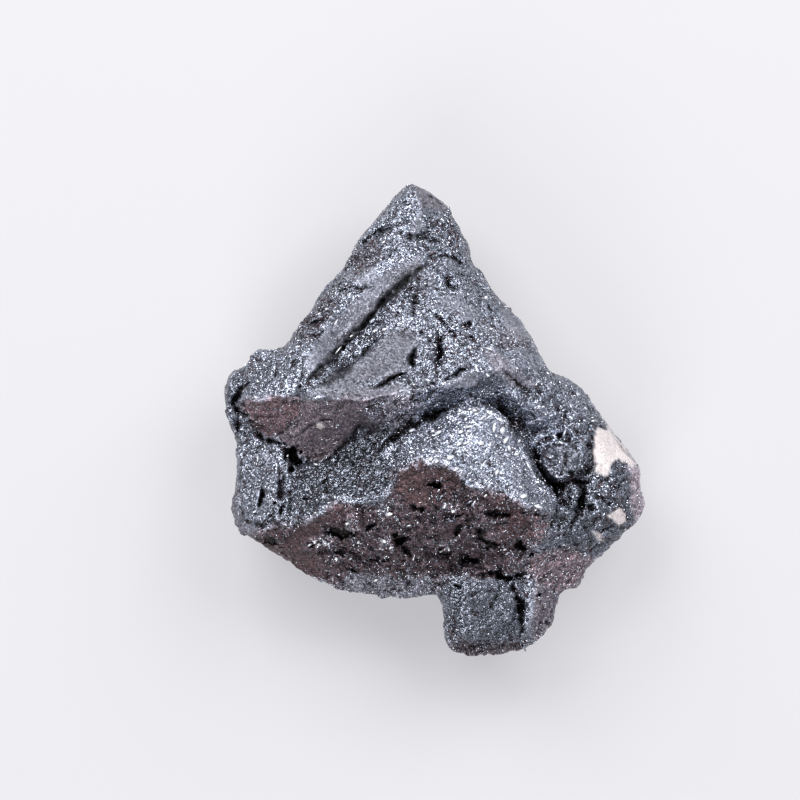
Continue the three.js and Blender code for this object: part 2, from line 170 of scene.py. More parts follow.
@dataclass(frozen=True)
class CrystalGrains:
    """Space filled with grains: every point belongs to the nearest of many scattered centres."""

    seed: int
    size: float

    def nearest(self, points: np.ndarray) -> tuple[np.ndarray, np.ndarray, np.ndarray]:
        """Compares each point with the centres in its own lattice cell and the 26 round it.

        Args:
            points: places, in millimetres.

        Returns:
            The grain's lattice cell, and the way from its centre to the point and its length, over
            the grain size.
        """
        lattice = Lattice(self.seed)
        place = points / self.size
        home = np.floor(place).astype(np.int64)
        least = np.full(len(points), np.inf)
        cell = home.copy()
        way = np.zeros_like(place)
        for step in np.ndindex(3, 3, 3):
            other = home + np.array(step) - 1
            centre = other + np.stack([lattice.values(other, k) for k in range(3)], axis=1)
            offset = place - centre
            distance = np.linalg.norm(offset, axis=1)
            closer = distance < least
            least = np.where(closer, distance, least)
            cell[closer] = other[closer]
            way[closer] = offset[closer]
        return cell, way, least

    def faces(self, points: np.ndarray, lean: float, step: float) -> np.ndarray:
        """Flat grain faces: the way from the centre times the grain's own lean, plus its own step.

        Args:
            points: places, in millimetres.
            lean: the steepest slope of a grain's face.
            step: how much higher or lower than the rest a whole grain may stand, in millimetres.

        Returns:
            Heights in millimetres, one for each point.
        """
        cell, way, _ = self.nearest(points)
        lattice = Lattice(self.seed)
        leans = np.stack([lattice.values(cell, 5 + k) for k in range(3)], axis=1) * 2.0 - 1.0
        own = lattice.values(cell, 9) * 2.0 - 1.0
        return lean * self.size * np.sum(leans * way, axis=1) + step * own

    def knobs(self, points: np.ndarray) -> np.ndarray:
        """Rounded knobs: 1 at a grain's centre, less the square of the way out.

        Args:
            points: places, in millimetres.

        Returns:
            Numbers from about 0 to 1, one for each point.
        """
        _, _, least = self.nearest(points)
        return 1.0 - np.minimum(least, 1.0) ** 2


@dataclass
class Surface:
    """A closed triangle mesh as arrays, in millimetres."""

    points: np.ndarray
    triangles: np.ndarray

    def sides(self) -> tuple[np.ndarray, np.ndarray]:
        """Each edge once, and which edge each side of each triangle is.

        Returns:
            Pairs of point numbers, and three edge numbers for each triangle.
        """
        ends = self.triangles[:, [[0, 1], [1, 2], [2, 0]]].reshape(-1, 2)
        edges, which = np.unique(np.sort(ends, axis=1), axis=0, return_inverse=True)
        return edges, which.reshape(-1, 3)

    def face_normals(self) -> np.ndarray:
        """The cross product of two sides of each triangle: twice its area long."""
        a, b, c = (self.points[self.triangles[:, k]] for k in range(3))
        return np.cross(b - a, c - a)

    def normals(self) -> np.ndarray:
        """At each point, the sum of the normals of the triangles round it, made one long."""
        across = self.face_normals()
        total = np.zeros_like(self.points)
        for axis in range(3):
            for corner in range(3):
                total[:, axis] += np.bincount(
                    self.triangles[:, corner], weights=across[:, axis], minlength=len(self.points)
                )
        return unit(total)

    def averaged(self, values: np.ndarray, rounds: int, share: float = 1.0) -> np.ndarray:
        """Moves each point's values towards the mean of its neighbours' values, again and again.

        Args:
            values: one row for each point.
            rounds: how many times.
            share: how far towards the mean, from 0 to 1.

        Returns:
            The averaged values, of the same shape.
        """
        ends, _ = self.sides()
        count = np.bincount(ends.ravel(), minlength=len(self.points))[:, None]
        result = values.astype(float)
        for _ in range(rounds):
            total = np.zeros_like(result)
            for axis in range(result.shape[1]):
                for near, far in ((0, 1), (1, 0)):
                    total[:, axis] += np.bincount(
                        ends[:, near], weights=result[ends[:, far], axis], minlength=len(self.points)
                    )
            result += share * (total / count - result)
        return result

    def refined(self, fine: np.ndarray) -> Surface:
        """Halves each edge whose two ends are marked, and splits the triangles to match.

        Args:
            fine: true for each marked point.

        Returns:
            A new surface: a triangle with three marked corners becomes four, with two, two.
        """
        edges, which = self.sides()
        halved = fine[edges].all(axis=1)
        middle = len(self.points) + np.cumsum(halved) - 1
        points = np.concatenate([self.points, self.points[edges[halved]].mean(axis=1)])
        count = halved[which].sum(axis=1)
        whole = self.triangles[count == 0]
        a, b, c = self.triangles[count == 3].T
        ab, bc, ca = middle[which[count == 3]].T
        parts = [whole, *(np.stack(t, axis=1) for t in ((a, ab, ca), (ab, b, bc), (ca, bc, c), (ab, bc, ca)))]
        once = count == 1
        turn = halved[which[once]].argmax(axis=1)[:, None]
        a, b, c = np.take_along_axis(self.triangles[once], (turn + np.arange(3)) % 3, axis=1).T
        ab = middle[np.take_along_axis(which[once], turn, axis=1)[:, 0]]
        parts += [np.stack((a, ab, c), axis=1), np.stack((ab, b, c), axis=1)]
        return Surface(points, np.concatenate(parts))

    def to_object(self, name: str) -> bpy.types.Object:
        """Writes the mesh in metres.

        Args:
            name: the object's name.

        Returns:
            The new object, linked to the scene and at the origin.
        """
        mesh = bpy.data.meshes.new(name)
        mesh.vertices.add(len(self.points))
        mesh.vertices.foreach_set("co", (self.points * MM).astype(np.float32).ravel())
        mesh.loops.add(self.triangles.size)
        mesh.loops.foreach_set("vertex_index", self.triangles.astype(np.int32).ravel())
        mesh.polygons.add(len(self.triangles))
        mesh.polygons.foreach_set("loop_start", np.arange(0, self.triangles.size, 3, dtype=np.int32))
        mesh.update(calc_edges=True)
        mesh.validate()
        piece = bpy.data.objects.new(name, mesh)
        bpy.context.scene.collection.objects.link(piece)
        return piece


class Remesher:
    """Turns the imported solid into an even, closed mesh."""

    def __init__(self, voxel: float) -> None:
        """Keeps the mesh size.

        Args:
            voxel: the side of a voxel, in millimetres.
        """
        self.voxel = voxel

    def even_surface(self, node: bpy.types.Object) -> Surface:
        """Copies the node's mesh in millimetres, remeshes it, and splits each quad on its shorter diagonal.

        Args:
            node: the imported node's object, which isn't changed.

        Returns:
            The even surface.
        """
        mesh = node.data.copy()
        places = np.zeros(len(mesh.vertices) * 3, np.float32)
        mesh.vertices.foreach_get("co", places)
        mesh.vertices.foreach_set("co", places / MM)
        block = bpy.data.objects.new("even_block", mesh)
        bpy.context.scene.collection.objects.link(block)
        remesh = block.modifiers.new("even", "REMESH")
        remesh.mode = "VOXEL"
        remesh.voxel_size = self.voxel
        depsgraph = bpy.context.evaluated_depsgraph_get()
        even = block.evaluated_get(depsgraph).to_mesh()
        points = np.zeros(len(even.vertices) * 3)
        even.vertices.foreach_get("co", points)
        corners = np.zeros(len(even.loops), np.int32)
        even.loops.foreach_get("vertex_index", corners)
        points = points.reshape(-1, 3)
        triangles = self.split(points, corners.reshape(-1, 4))
        block.evaluated_get(depsgraph).to_mesh_clear()
        bpy.data.objects.remove(block)
        bpy.data.meshes.remove(mesh)
        return Surface(points, triangles)

    @staticmethod
    def split(points: np.ndarray, quads: np.ndarray) -> np.ndarray:
        """Two triangles for each quad, across the shorter diagonal.

        Args:
            points: the mesh's points.
            quads: four point numbers in each row.

        Returns:
            Three point numbers in each row.
        """
        a, b, c, d = (quads[:, k] for k in range(4))
        ac = np.linalg.norm(points[a] - points[c], axis=1)
        bd = np.linalg.norm(points[b] - points[d], axis=1)
        one_way = np.stack([a, b, c, a, c, d], axis=1)
        other_way = np.stack([a, b, d, b, c, d], axis=1)
        return np.where((ac <= bd)[:, None], one_way, other_way).reshape(-1, 3)


@dataclass(frozen=True)
class Line:
    """A line over the best side, as seen from above."""

    path: Path

    def measure(self, points: np.ndarray) -> tuple[np.ndarray, np.ndarray, np.ndarray]:
        """Compares each point with every straight part of the line and keeps the nearest.

        Args:
            points: places, in millimetres.

        Returns:
            How far off the line each point is, that distance counted negative on the right of the
            line's run, and how far along the line it is, from 0 to 1.
        """
        corners = np.array(self.path)
        lengths = np.linalg.norm(np.diff(corners, axis=0), axis=1)
        before = np.concatenate([[0.0], np.cumsum(lengths)])
        near = np.full(len(points), np.inf)
        side = np.zeros(len(points))
        along = np.zeros(len(points))
        for k, length in enumerate(lengths):
            run = (corners[k + 1] - corners[k]) / length
            offset = points[:, :2] - corners[k]
            t = np.clip(offset @ run, 0.0, length)
            gap = np.linalg.norm(offset - t[:, None] * run, axis=1)
            closer = gap < near
            near = np.where(closer, gap, near)
            side = np.where(closer, run[0] * offset[:, 1] - run[1] * offset[:, 0], side)
            along = np.where(closer, (before[k] + t) / before[-1], along)
        return near, np.where(side < 0.0, -near, near), along


@dataclass(frozen=True)
class Groove:
    """A crack or slot that thins out at its two ends."""

    path: Path
    width: float
    depth: float

    def depth_at(self, points: np.ndarray, ragged: np.ndarray) -> np.ndarray:
        """The depth times a bell curve of the distance to the path, both changed by noise.

        Args:
            points: places, in millimetres.
            ragged: noise from -1 to 1, one for each point.

        Returns:
            How far down each point moves, in millimetres.
        """
        near, _, along = Line(self.path).measure(points)
        taper = np.sqrt(np.sin(np.pi * np.clip(along, 0.03, 0.97)))
        width = self.width * taper * (1.0 + 0.8 * ragged)
        return self.depth * taper * (1.0 + 0.6 * ragged) * np.exp(-((near / width) ** 2))


@dataclass(frozen=True)
class Wall:
    """A step whose low side lies on the left of its run and rises slowly again."""

    path: Path
    wall: float
    depth: float
    reach: float

    def depth_at(self, points: np.ndarray, ragged: np.ndarray) -> np.ndarray:
        """A smooth drop across the wall's width, times a slow fade over its reach.

        Args:
            points: places, in millimetres.
            ragged: noise from -1 to 1, one for each point.

        Returns:
            How far down each point moves, in millimetres.
        """
        _, side, along = Line(self.path).measure(points)
        side = side + 0.1 * ragged
        taper = np.sqrt(np.sin(np.pi * np.clip(along, 0.03, 0.97)))
        drop = smoothstep(0.0, self.wall, side) * (1.0 - smoothstep(self.wall, self.reach, side))
        return self.depth * taper * drop


@dataclass(frozen=True)
class Pit:
    """A hole shaped like an ellipse with a ragged rim."""

    centre: tuple[float, float]
    radii: tuple[float, float]
    depth: float
    turn: float = 0.0

    def depth_at(self, points: np.ndarray, ragged: np.ndarray) -> np.ndarray:
        """The depth times one minus a smooth step of the distance in the ellipse's own measure.

        Args:
            points: places, in millimetres.
            ragged: noise from -1 to 1, one for each point.

        Returns:
            How far down each point moves, in millimetres.
        """
        offset = points[:, :2] - np.array(self.centre)
        cosine, sine = np.cos(self.turn), np.sin(self.turn)
        across = (offset[:, 0] * cosine + offset[:, 1] * sine) / self.radii[0]
        up = (-offset[:, 0] * sine + offset[:, 1] * cosine) / self.radii[1]
        return self.depth * (1.0 - smoothstep(0.5, 1.2, np.hypot(across, up) * (1.0 + 0.8 * ragged)))


MARKS: dict[str, Groove | Wall | Pit] = {
    "hopper wall": Wall(wall=0.65, depth=1.5, reach=2.8, path=(
        (-1.0, 16.1), (-4.2, 13.6), (-6.5, 11.0), (-9.7, 7.4), (-12.7, 4.2), (-13.9, 3.1),
    )),
    "hopper foot": Groove(width=0.26, depth=0.95, path=(
        (-1.3, 15.2), (-3.4, 13.2), (-5.4, 11.3), (-8.0, 8.6), (-10.2, 6.4), (-12.4, 4.1), (-13.4, 3.2),
    )),
    "plate edge": Groove(width=0.2, depth=0.5, path=(
        (-11.0, 4.2), (-8.9, 5.2), (-7.3, 6.6), (-6.3, 7.9), (-4.5, 8.9),
    )),
    "slot": Groove(width=0.2, depth=1.3, path=((-6.2, 3.2), (-5.4, 3.6), (-4.2, 4.2), (-2.9, 4.8))),
    "upright pit": Groove(width=0.24, depth=1.1, path=((-1.8, 7.3), (-2.3, 6.3), (-1.9, 5.2))),
    "small pit": Pit(centre=(-1.3, 8.7), radii=(0.35, 0.22), depth=0.6, turn=0.3),
    "middle crack": Groove(width=0.25, depth=0.9, path=((0.3, 8.3), (0.5, 6.6), (-0.1, 4.8))),
    "middle pit": Pit(centre=(0.4, 8.0), radii=(0.7, 0.4), depth=0.7, turn=0.3),
    "middle pits": Groove(width=0.4, depth=0.6, path=((-2.6, 13.0), (-1.9, 11.8), (-2.2, 10.6))),
    "right pits": Groove(width=0.35, depth=0.6, path=((0.8, 14.6), (1.8, 13.4), (2.4, 12.6))),
    "tip pits": Groove(width=0.35, depth=0.5, path=(
        (-3.8, 18.9), (-2.4, 18.2), (-0.8, 18.4), (0.6, 17.6),
    )),
    "spear foot pits": Groove(width=0.3, depth=0.5, path=((6.6, 5.0), (8.0, 3.8), (9.8, 2.2))),
    "middle crack, upper": Groove(width=0.22, depth=0.8, path=((0.0, 10.6), (1.0, 9.6), (2.3, 8.3))),
    "middle crack, right": Groove(width=0.25, depth=0.7, path=((2.8, 9.7), (3.5, 9.3))),
    "middle crack, end": Groove(width=0.2, depth=0.5, path=((3.4, 8.4), (4.2, 7.7))),
    "ledge": Groove(width=0.2, depth=0.8, path=((0.7, 3.8), (1.6, 4.4), (3.9, 5.5))),
    "round pit": Pit(centre=(1.4, 13.6), radii=(0.35, 0.28), depth=0.6),
    "side crack": Groove(width=0.16, depth=0.5, path=((5.2, 11.6), (5.5, 10.5))),
    "upper step": Groove(width=0.22, depth=0.6, path=((-0.8, 16.3), (1.0, 16.5), (3.2, 15.8))),
    "tip crack": Groove(width=0.16, depth=0.5, path=((-1.1, 22.5), (0.0, 22.2), (0.9, 21.3))),
    "band notch": Groove(width=0.45, depth=0.6, path=((-8.4, 17.1), (-6.4, 18.3), (-4.0, 19.5))),
    "band pits": Groove(width=0.4, depth=0.6, path=((-10.0, 13.3), (-8.2, 12.9), (-6.4, 13.4))),
    "band pits, lower": Groove(width=0.45, depth=0.6, path=((-13.6, 8.6), (-12.4, 9.6), (-10.4, 10.4))),
    "band pits, lowest": Groove(width=0.22, depth=0.5, path=((-12.4, 8.3), (-11.0, 8.8))),
    "knob groove": Groove(width=0.22, depth=0.8, path=(
        (-17.9, 4.0), (-18.9, 3.6), (-19.6, 2.8), (-20.1, 1.8), (-19.7, 1.0), (-18.9, 0.7), (-18.3, 0.0),
    )),
    "knob groove, lower": Groove(width=0.22, depth=0.6, path=(
        (-19.5, 0.8), (-19.7, -0.4), (-20.0, -1.7),
    )),
    "nose foot": Groove(width=0.2, depth=0.9, path=(
        (-18.2, -0.8), (-17.0, -1.8), (-16.0, -2.0), (-15.0, -2.3), (-14.3, -3.0),
    )),
    "deep hole": Pit(centre=(-14.1, -3.8), radii=(0.6, 1.2), depth=2.0, turn=0.35),
    "nose crack": Groove(width=0.16, depth=0.35, path=((-16.0, -1.5), (-14.8, -0.8), (-13.3, 0.2))),
    "underside crack": Groove(width=0.14, depth=0.35, path=(
        (-14.2, -1.8), (-12.6, -0.6), (-11.8, -0.1), (-9.0, 0.2),
    )),
    "underside foot": Groove(width=0.22, depth=0.6, path=(
        (-11.4, -4.1), (-9.7, -2.9), (-8.3, -1.7), (-7.0, 0.1),
    )),
    "crevice": Groove(width=0.35, depth=0.7, path=(
        (-6.4, -3.4), (-4.6, -2.0), (-3.2, -0.9), (-0.4, 0.5), (1.8, 1.5),
    )),
    "notch": Groove(width=0.2, depth=0.9, path=((9.8, -2.6), (10.2, -4.0), (10.8, -5.2))),
    "notch, lower": Groove(width=0.4, depth=2.2, path=(
        (10.2, -4.4), (10.8, -5.6), (11.5, -6.3), (12.3, -6.9),
    )),
    "hole over the knob": Pit(centre=(12.3, -1.4), radii=(0.35, 0.25), depth=0.8),
    "valley": Groove(width=0.6, depth=0.8, path=(
        (13.5, -5.2), (14.6, -6.8), (14.6, -8.4), (13.6, -10.4),
    )),
    "valley, side": Groove(width=0.4, depth=0.7, path=((14.4, -8.4), (16.2, -9.0))),
    "block crack": Groove(width=0.2, depth=1.1, path=((-17.2, -6.1), (-17.2, -7.4), (-17.7, -8.7))),
    "block pit": Pit(centre=(-15.9, -8.2), radii=(0.3, 0.3), depth=0.8),
    "block crack, right": Groove(width=0.2, depth=0.7, path=((-15.0, -8.1), (-15.3, -9.4))),
    "block swath": Groove(width=0.35, depth=0.6, path=((-15.1, -5.2), (-15.4, -6.6), (-15.2, -7.8))),
    "slab pit": Pit(centre=(-13.0, -7.7), radii=(0.35, 0.22), depth=0.6),
    "slab crack": Groove(width=0.22, depth=0.5, path=((-10.8, -5.9), (-10.7, -7.2))),
    "crest pit": Pit(centre=(-16.4, -11.8), radii=(0.85, 0.5), depth=1.6, turn=0.4),
    "broken hole": Pit(centre=(-0.1, -6.3), radii=(0.65, 0.5), depth=2.0),
    "broken triangle": Pit(centre=(-3.5, -11.7), radii=(0.75, 0.6), depth=1.9, turn=-0.5),
    "broken triangle, tail": Groove(width=0.25, depth=0.9, path=((-3.6, -12.0), (-2.2, -13.4))),
    "broken hollow": Pit(centre=(-9.6, -11.1), radii=(1.5, 0.6), depth=1.1, turn=-0.1),
    "broken hollow, lower": Pit(centre=(-9.4, -12.9), radii=(0.9, 0.3), depth=0.8),
    "broken hollow, left": Pit(centre=(-12.4, -12.3), radii=(0.4, 0.3), depth=0.8),
    "broken hollow, foot": Pit(centre=(-8.2, -14.9), radii=(0.7, 0.25), depth=0.7),
    "broken band": Groove(width=0.4, depth=1.1, path=((4.4, -8.8), (6.0, -9.0), (7.8, -9.3))),
    "broken arc": Groove(width=0.4, depth=1.4, path=((4.2, -10.2), (4.8, -11.6), (6.6, -12.5))),
    "broken pit, right": Pit(centre=(8.5, -12.4), radii=(0.9, 0.45), depth=1.5, turn=-0.7),
    "broken pit, small": Pit(centre=(0.7, -13.0), radii=(0.4, 0.25), depth=0.9),
    "broken pit, brow": Pit(centre=(-1.6, -8.6), radii=(0.9, 0.35), depth=0.9, turn=-0.4),
    "broken pit, middle": Pit(centre=(2.4, -10.6), radii=(0.7, 0.35), depth=1.0, turn=0.7),
    "broken pit, left": Pit(centre=(-6.4, -10.4), radii=(0.6, 0.3), depth=1.0, turn=0.5),
    "broken pit, low": Pit(centre=(-5.6, -13.9), radii=(0.8, 0.3), depth=0.9, turn=0.2),
    "broken pit, over the foot": Pit(centre=(3.6, -13.9), radii=(0.7, 0.3), depth=0.9, turn=-0.3),
    "foot shadow": Groove(width=0.35, depth=1.3, path=(
        (4.2, -15.7), (6.0, -15.0), (7.4, -15.7), (9.0, -15.1),
    )),
    "foot crack": Groove(width=0.22, depth=1.0, path=(
        (8.0, -15.6), (7.8, -16.8), (8.3, -17.8), (8.9, -18.7), (8.5, -19.8), (8.9, -20.6), (8.4, -21.6),
    )),
    "foot crack, deep": Pit(centre=(8.5, -18.7), radii=(0.28, 0.6), depth=0.6, turn=0.4),
    "foot hole": Pit(centre=(2.2, -16.5), radii=(0.45, 0.2), depth=0.8),
    "foot lobe hole": Pit(centre=(10.4, -17.4), radii=(0.25, 0.25), depth=0.7),
}


RIMS: dict[str, Groove] = {
    "nose rim": Groove(width=0.22, depth=0.3, path=(
        (-19.6, 1.4), (-19.4, 2.1), (-18.5, 2.35), (-17.5, 2.05), (-16.4, 2.35), (-15.3, 2.6),
        (-14.2, 2.4), (-13.0, 1.9),
    )),
    "lower strip rim": Groove(width=0.22, depth=0.15, path=(
        (-13.2, 1.9), (-11.2, 2.35), (-9.0, 2.1), (-6.0, 2.3), (-3.0, 2.9), (-0.6, 3.2),
    )),
    "ledge rim": Groove(width=0.15, depth=0.2, path=((1.0, 4.1), (2.2, 4.8), (3.0, 5.2), (4.1, 5.5))),
    "dome rim": Groove(width=0.25, depth=0.3, path=(
        (-0.2, 0.0), (1.6, 0.9), (3.2, 1.05), (5.2, 1.2), (6.4, 0.6), (7.4, -0.4), (8.3, -2.1),
        (9.1, -4.0), (10.0, -6.0), (12.2, -7.1),
    )),
    "knob rim": Groove(width=0.2, depth=0.4, path=(
        (10.3, -2.6), (11.2, -2.1), (12.4, -2.05), (13.4, -2.5),
    )),
    "crest rim": Groove(width=0.3, depth=0.2, path=(
        (-18.9, -11.4), (-15.9, -10.5), (-12.2, -9.7), (-10.0, -7.8), (-7.0, -8.0), (-5.0, -8.3),
    )),
    "brow rim": Groove(width=0.3, depth=0.25, path=(
        (-4.4, -6.6), (-3.8, -4.8), (-1.5, -4.0), (0.6, -4.1), (2.4, -5.0), (3.2, -6.1), (5.5, -6.9),
        (8.5, -8.1), (11.0, -9.1),
    )),
    "tip rim": Groove(width=0.3, depth=0.15, path=(
        (-1.9, 23.4), (-1.6, 22.0), (-1.5, 20.8), (-2.2, 19.0),
    )),
}


@dataclass(frozen=True)
class Facet:
    """A flat crystal face: its outline from above, how far it stands out, and its lean along X and Y."""

    outline: Path
    lift: float
    lean: tuple[float, float] = (0.0, 0.0)
    edge: float = 0.15

    def raise_at(self, points: np.ndarray, seen: np.ndarray, ragged: np.ndarray) -> np.ndarray:
        """The way up to the plane that fits the ground in the outline best, lifted and leant.

        Args:
            points: places, in millimetres.
            seen: from 0 on the sides and back to 1 on the best side.
            ragged: noise from -1 to 1, one for each point.

        Returns:
            How far up each point moves, in millimetres.
        """
        patch = Patch(Kind.SATIN, self.outline, edge=self.edge, fray=0.15)
        within = patch.holds(points) & (seen > 0.9)
        middle = points[within].mean(axis=0)
        offset = points[within] - middle
        slope, *_ = np.linalg.lstsq(offset[:, :2], offset[:, 2], rcond=None)
        plane = middle[2] + self.lift + (points - middle)[:, :2] @ (slope + np.array(self.lean))
        return patch.level_at(points, ragged) * seen * (plane - points[:, 2])


FACETS: dict[str, Facet] = {
    "dome shoulder": Facet(lift=1.2, edge=0.6, outline=(
        (8.9, -0.8), (10.2, -1.0), (10.6, -2.2), (10.3, -3.4), (9.8, -3.8), (9.2, -2.8),
    )),
    "saddle": Facet(lift=1.2, lean=(0.0, -0.3), edge=0.6, outline=(
        (6.2, 2.8), (8.0, 2.6), (9.2, 0.8), (8.6, -0.6), (7.5, 0.2), (6.4, 1.1),
    )),
    "knob ground": Facet(lift=0.2, edge=0.6, outline=(
        (9.4, -1.2), (11.0, -0.6), (13.2, -0.8), (15.0, -2.0), (15.2, -4.2), (14.0, -6.0), (12.4, -6.4),
        (11.0, -5.8), (10.0, -4.4), (9.4, -2.6),
    )),
    "knob": Facet(lift=0.8, lean=(0.1, 0.1), outline=(
        (10.0, -2.5), (11.2, -2.0), (12.6, -2.15), (12.9, -3.8), (12.3, -5.9), (11.6, -5.7), (10.8, -4.6),
    )),
    "knob, right": Facet(lift=0.65, lean=(-0.12, 0.08), edge=0.4, outline=(
        (12.6, -2.15), (13.5, -2.3), (14.2, -3.2), (13.9, -4.8), (12.9, -5.8), (12.3, -5.9), (12.9, -3.8),
    )),
    "lower knob": Facet(lift=0.35, lean=(-0.1, 0.15), outline=(
        (12.0, -6.4), (13.4, -5.9), (14.2, -6.8), (14.0, -8.6), (13.2, -9.0), (12.2, -8.0),
    )),
    "lobe knob": Facet(lift=0.35, lean=(0.0, 0.2), outline=(
        (14.9, -6.5), (15.8, -5.7), (17.2, -6.2), (17.3, -7.4), (15.6, -7.8),
    )),
    "ledge": Facet(lift=0.2, lean=(0.0, -0.15), outline=(
        (0.6, 3.4), (1.0, 3.9), (2.2, 4.6), (3.9, 5.3), (4.4, 4.6), (3.9, 3.6), (2.0, 3.2),
    )),
    "plate": Facet(lift=0.0, lean=(0.0, -0.05), edge=0.7, outline=(
        (-10.0, 4.3), (-8.4, 5.2), (-7.0, 6.4), (-5.4, 8.2), (-3.2, 9.0), (-2.1, 8.6), (-2.0, 7.4),
        (-2.9, 6.4), (-3.2, 5.3), (-4.4, 4.6), (-6.0, 4.0), (-8.0, 4.0),
    )),
    "block": Facet(lift=0.3, lean=(0.1, -0.05), outline=(
        (-19.4, -3.0), (-16.6, -2.6), (-15.6, -4.5), (-15.7, -8.2), (-17.2, -10.2), (-19.0, -9.6),
    )),
    "broken block": Facet(lift=0.5, lean=(0.05, 0.1), outline=(
        (5.3, -9.8), (8.0, -9.0), (10.5, -9.5), (10.7, -11.1), (8.8, -11.8), (6.7, -11.9), (5.3, -11.0),
    )),
    "broken shelf": Facet(lift=0.4, lean=(0.0, 0.15), outline=(
        (5.0, -13.1), (7.4, -12.9), (8.4, -13.8), (8.3, -14.8), (6.0, -14.9), (4.6, -14.2),
    )),
    "broken step": Facet(lift=0.35, lean=(0.1, 0.1), outline=(
        (-2.6, -9.6), (0.2, -9.8), (2.8, -9.4), (3.4, -11.2), (1.4, -12.0), (-1.6, -11.6),
    )),
    "broken corner": Facet(lift=0.3, lean=(-0.1, 0.15), outline=(
        (-8.6, -9.2), (-6.4, -9.0), (-5.8, -10.8), (-7.0, -12.0), (-8.8, -10.8),
    )),
}


class Kind(Enum):
    """What a patch of the best side is like, or how much light or shade is painted on it."""

    SATIN = "satin"
    BROWN = "brown"
    PALE = "pale"
    # painted light and shade: raises or lowers the colour by stops where light falls or shade lies, and paints
    # glints; in places it evens out tone
    GLOW = "painted_light_and_tone"
    KNOBBY = "knobby"
    OPEN = "open"


@dataclass(frozen=True)
class Patch:
    """A patch of the best side: its outline as seen from above, and how strongly it is of its kind."""

    kind: Kind
    outline: Path
    level: float = 1.0
    edge: float = 0.35
    fray: float = 0.5

    def level_at(self, points: np.ndarray, ragged: np.ndarray) -> np.ndarray:
        """The level times a smooth step of the distance inside the outline, which noise has frayed.

        Args:
            points: places, in millimetres.
            ragged: noise from -1 to 1, one for each point.

        Returns:
            One number for each point.
        """
        near, _, _ = Line(self.outline + self.outline[:1]).measure(points)
        inside = np.where(self.holds(points), near, -near) + self.fray * ragged
        return self.level * smoothstep(-self.edge, self.edge, inside)

    def holds(self, points: np.ndarray) -> np.ndarray:
        """Whether a line from each point towards +X crosses the outline an odd number of times."""
        x, y = points[:, 0], points[:, 1]
        odd = np.zeros(len(points), bool)
        for (x0, y0), (x1, y1) in zip(self.outline, self.outline[1:] + self.outline[:1]):
            slope = (x1 - x0) / (y1 - y0 + 1e-9)
            odd ^= ((y0 > y) != (y1 > y)) & (x < x0 + (y - y0) * slope)
        return odd


HOPPER_WALL: Path = (
    (-12.9, 4.2), (-10.1, 7.3), (-8.4, 9.3), (-6.5, 11.4), (-4.5, 13.6), (-3.6, 14.5), (-1.6, 15.9),
    (-1.1, 15.2), (-3.2, 13.0), (-4.0, 12.2), (-5.3, 11.2), (-6.6, 10.1), (-8.0, 8.4), (-10.0, 6.4),
    (-12.2, 4.0),
)

LOBE_EDGE: Path = (
    (18.9, -3.8), (20.4, -4.0), (21.6, -6.4), (21.6, -9.6), (20.2, -10.4), (19.4, -8.8), (19.6, -7.0),
    (19.2, -5.2),
)

SPEAR_RIGHT_FOOT: Path = (
    (4.6, 7.0), (6.4, 6.8), (8.4, 4.8), (9.9, 3.8), (9.4, 3.1), (7.6, 3.6), (5.8, 5.2),
)

BAND_TOP: Path = ((-9.4, 15.6), (-6.2, 18.2), (-4.8, 16.4), (-7.6, 14.8))

BAND_FOOT: Path = ((-14.2, 8.6), (-11.0, 12.4), (-9.6, 11.4), (-12.4, 7.8))
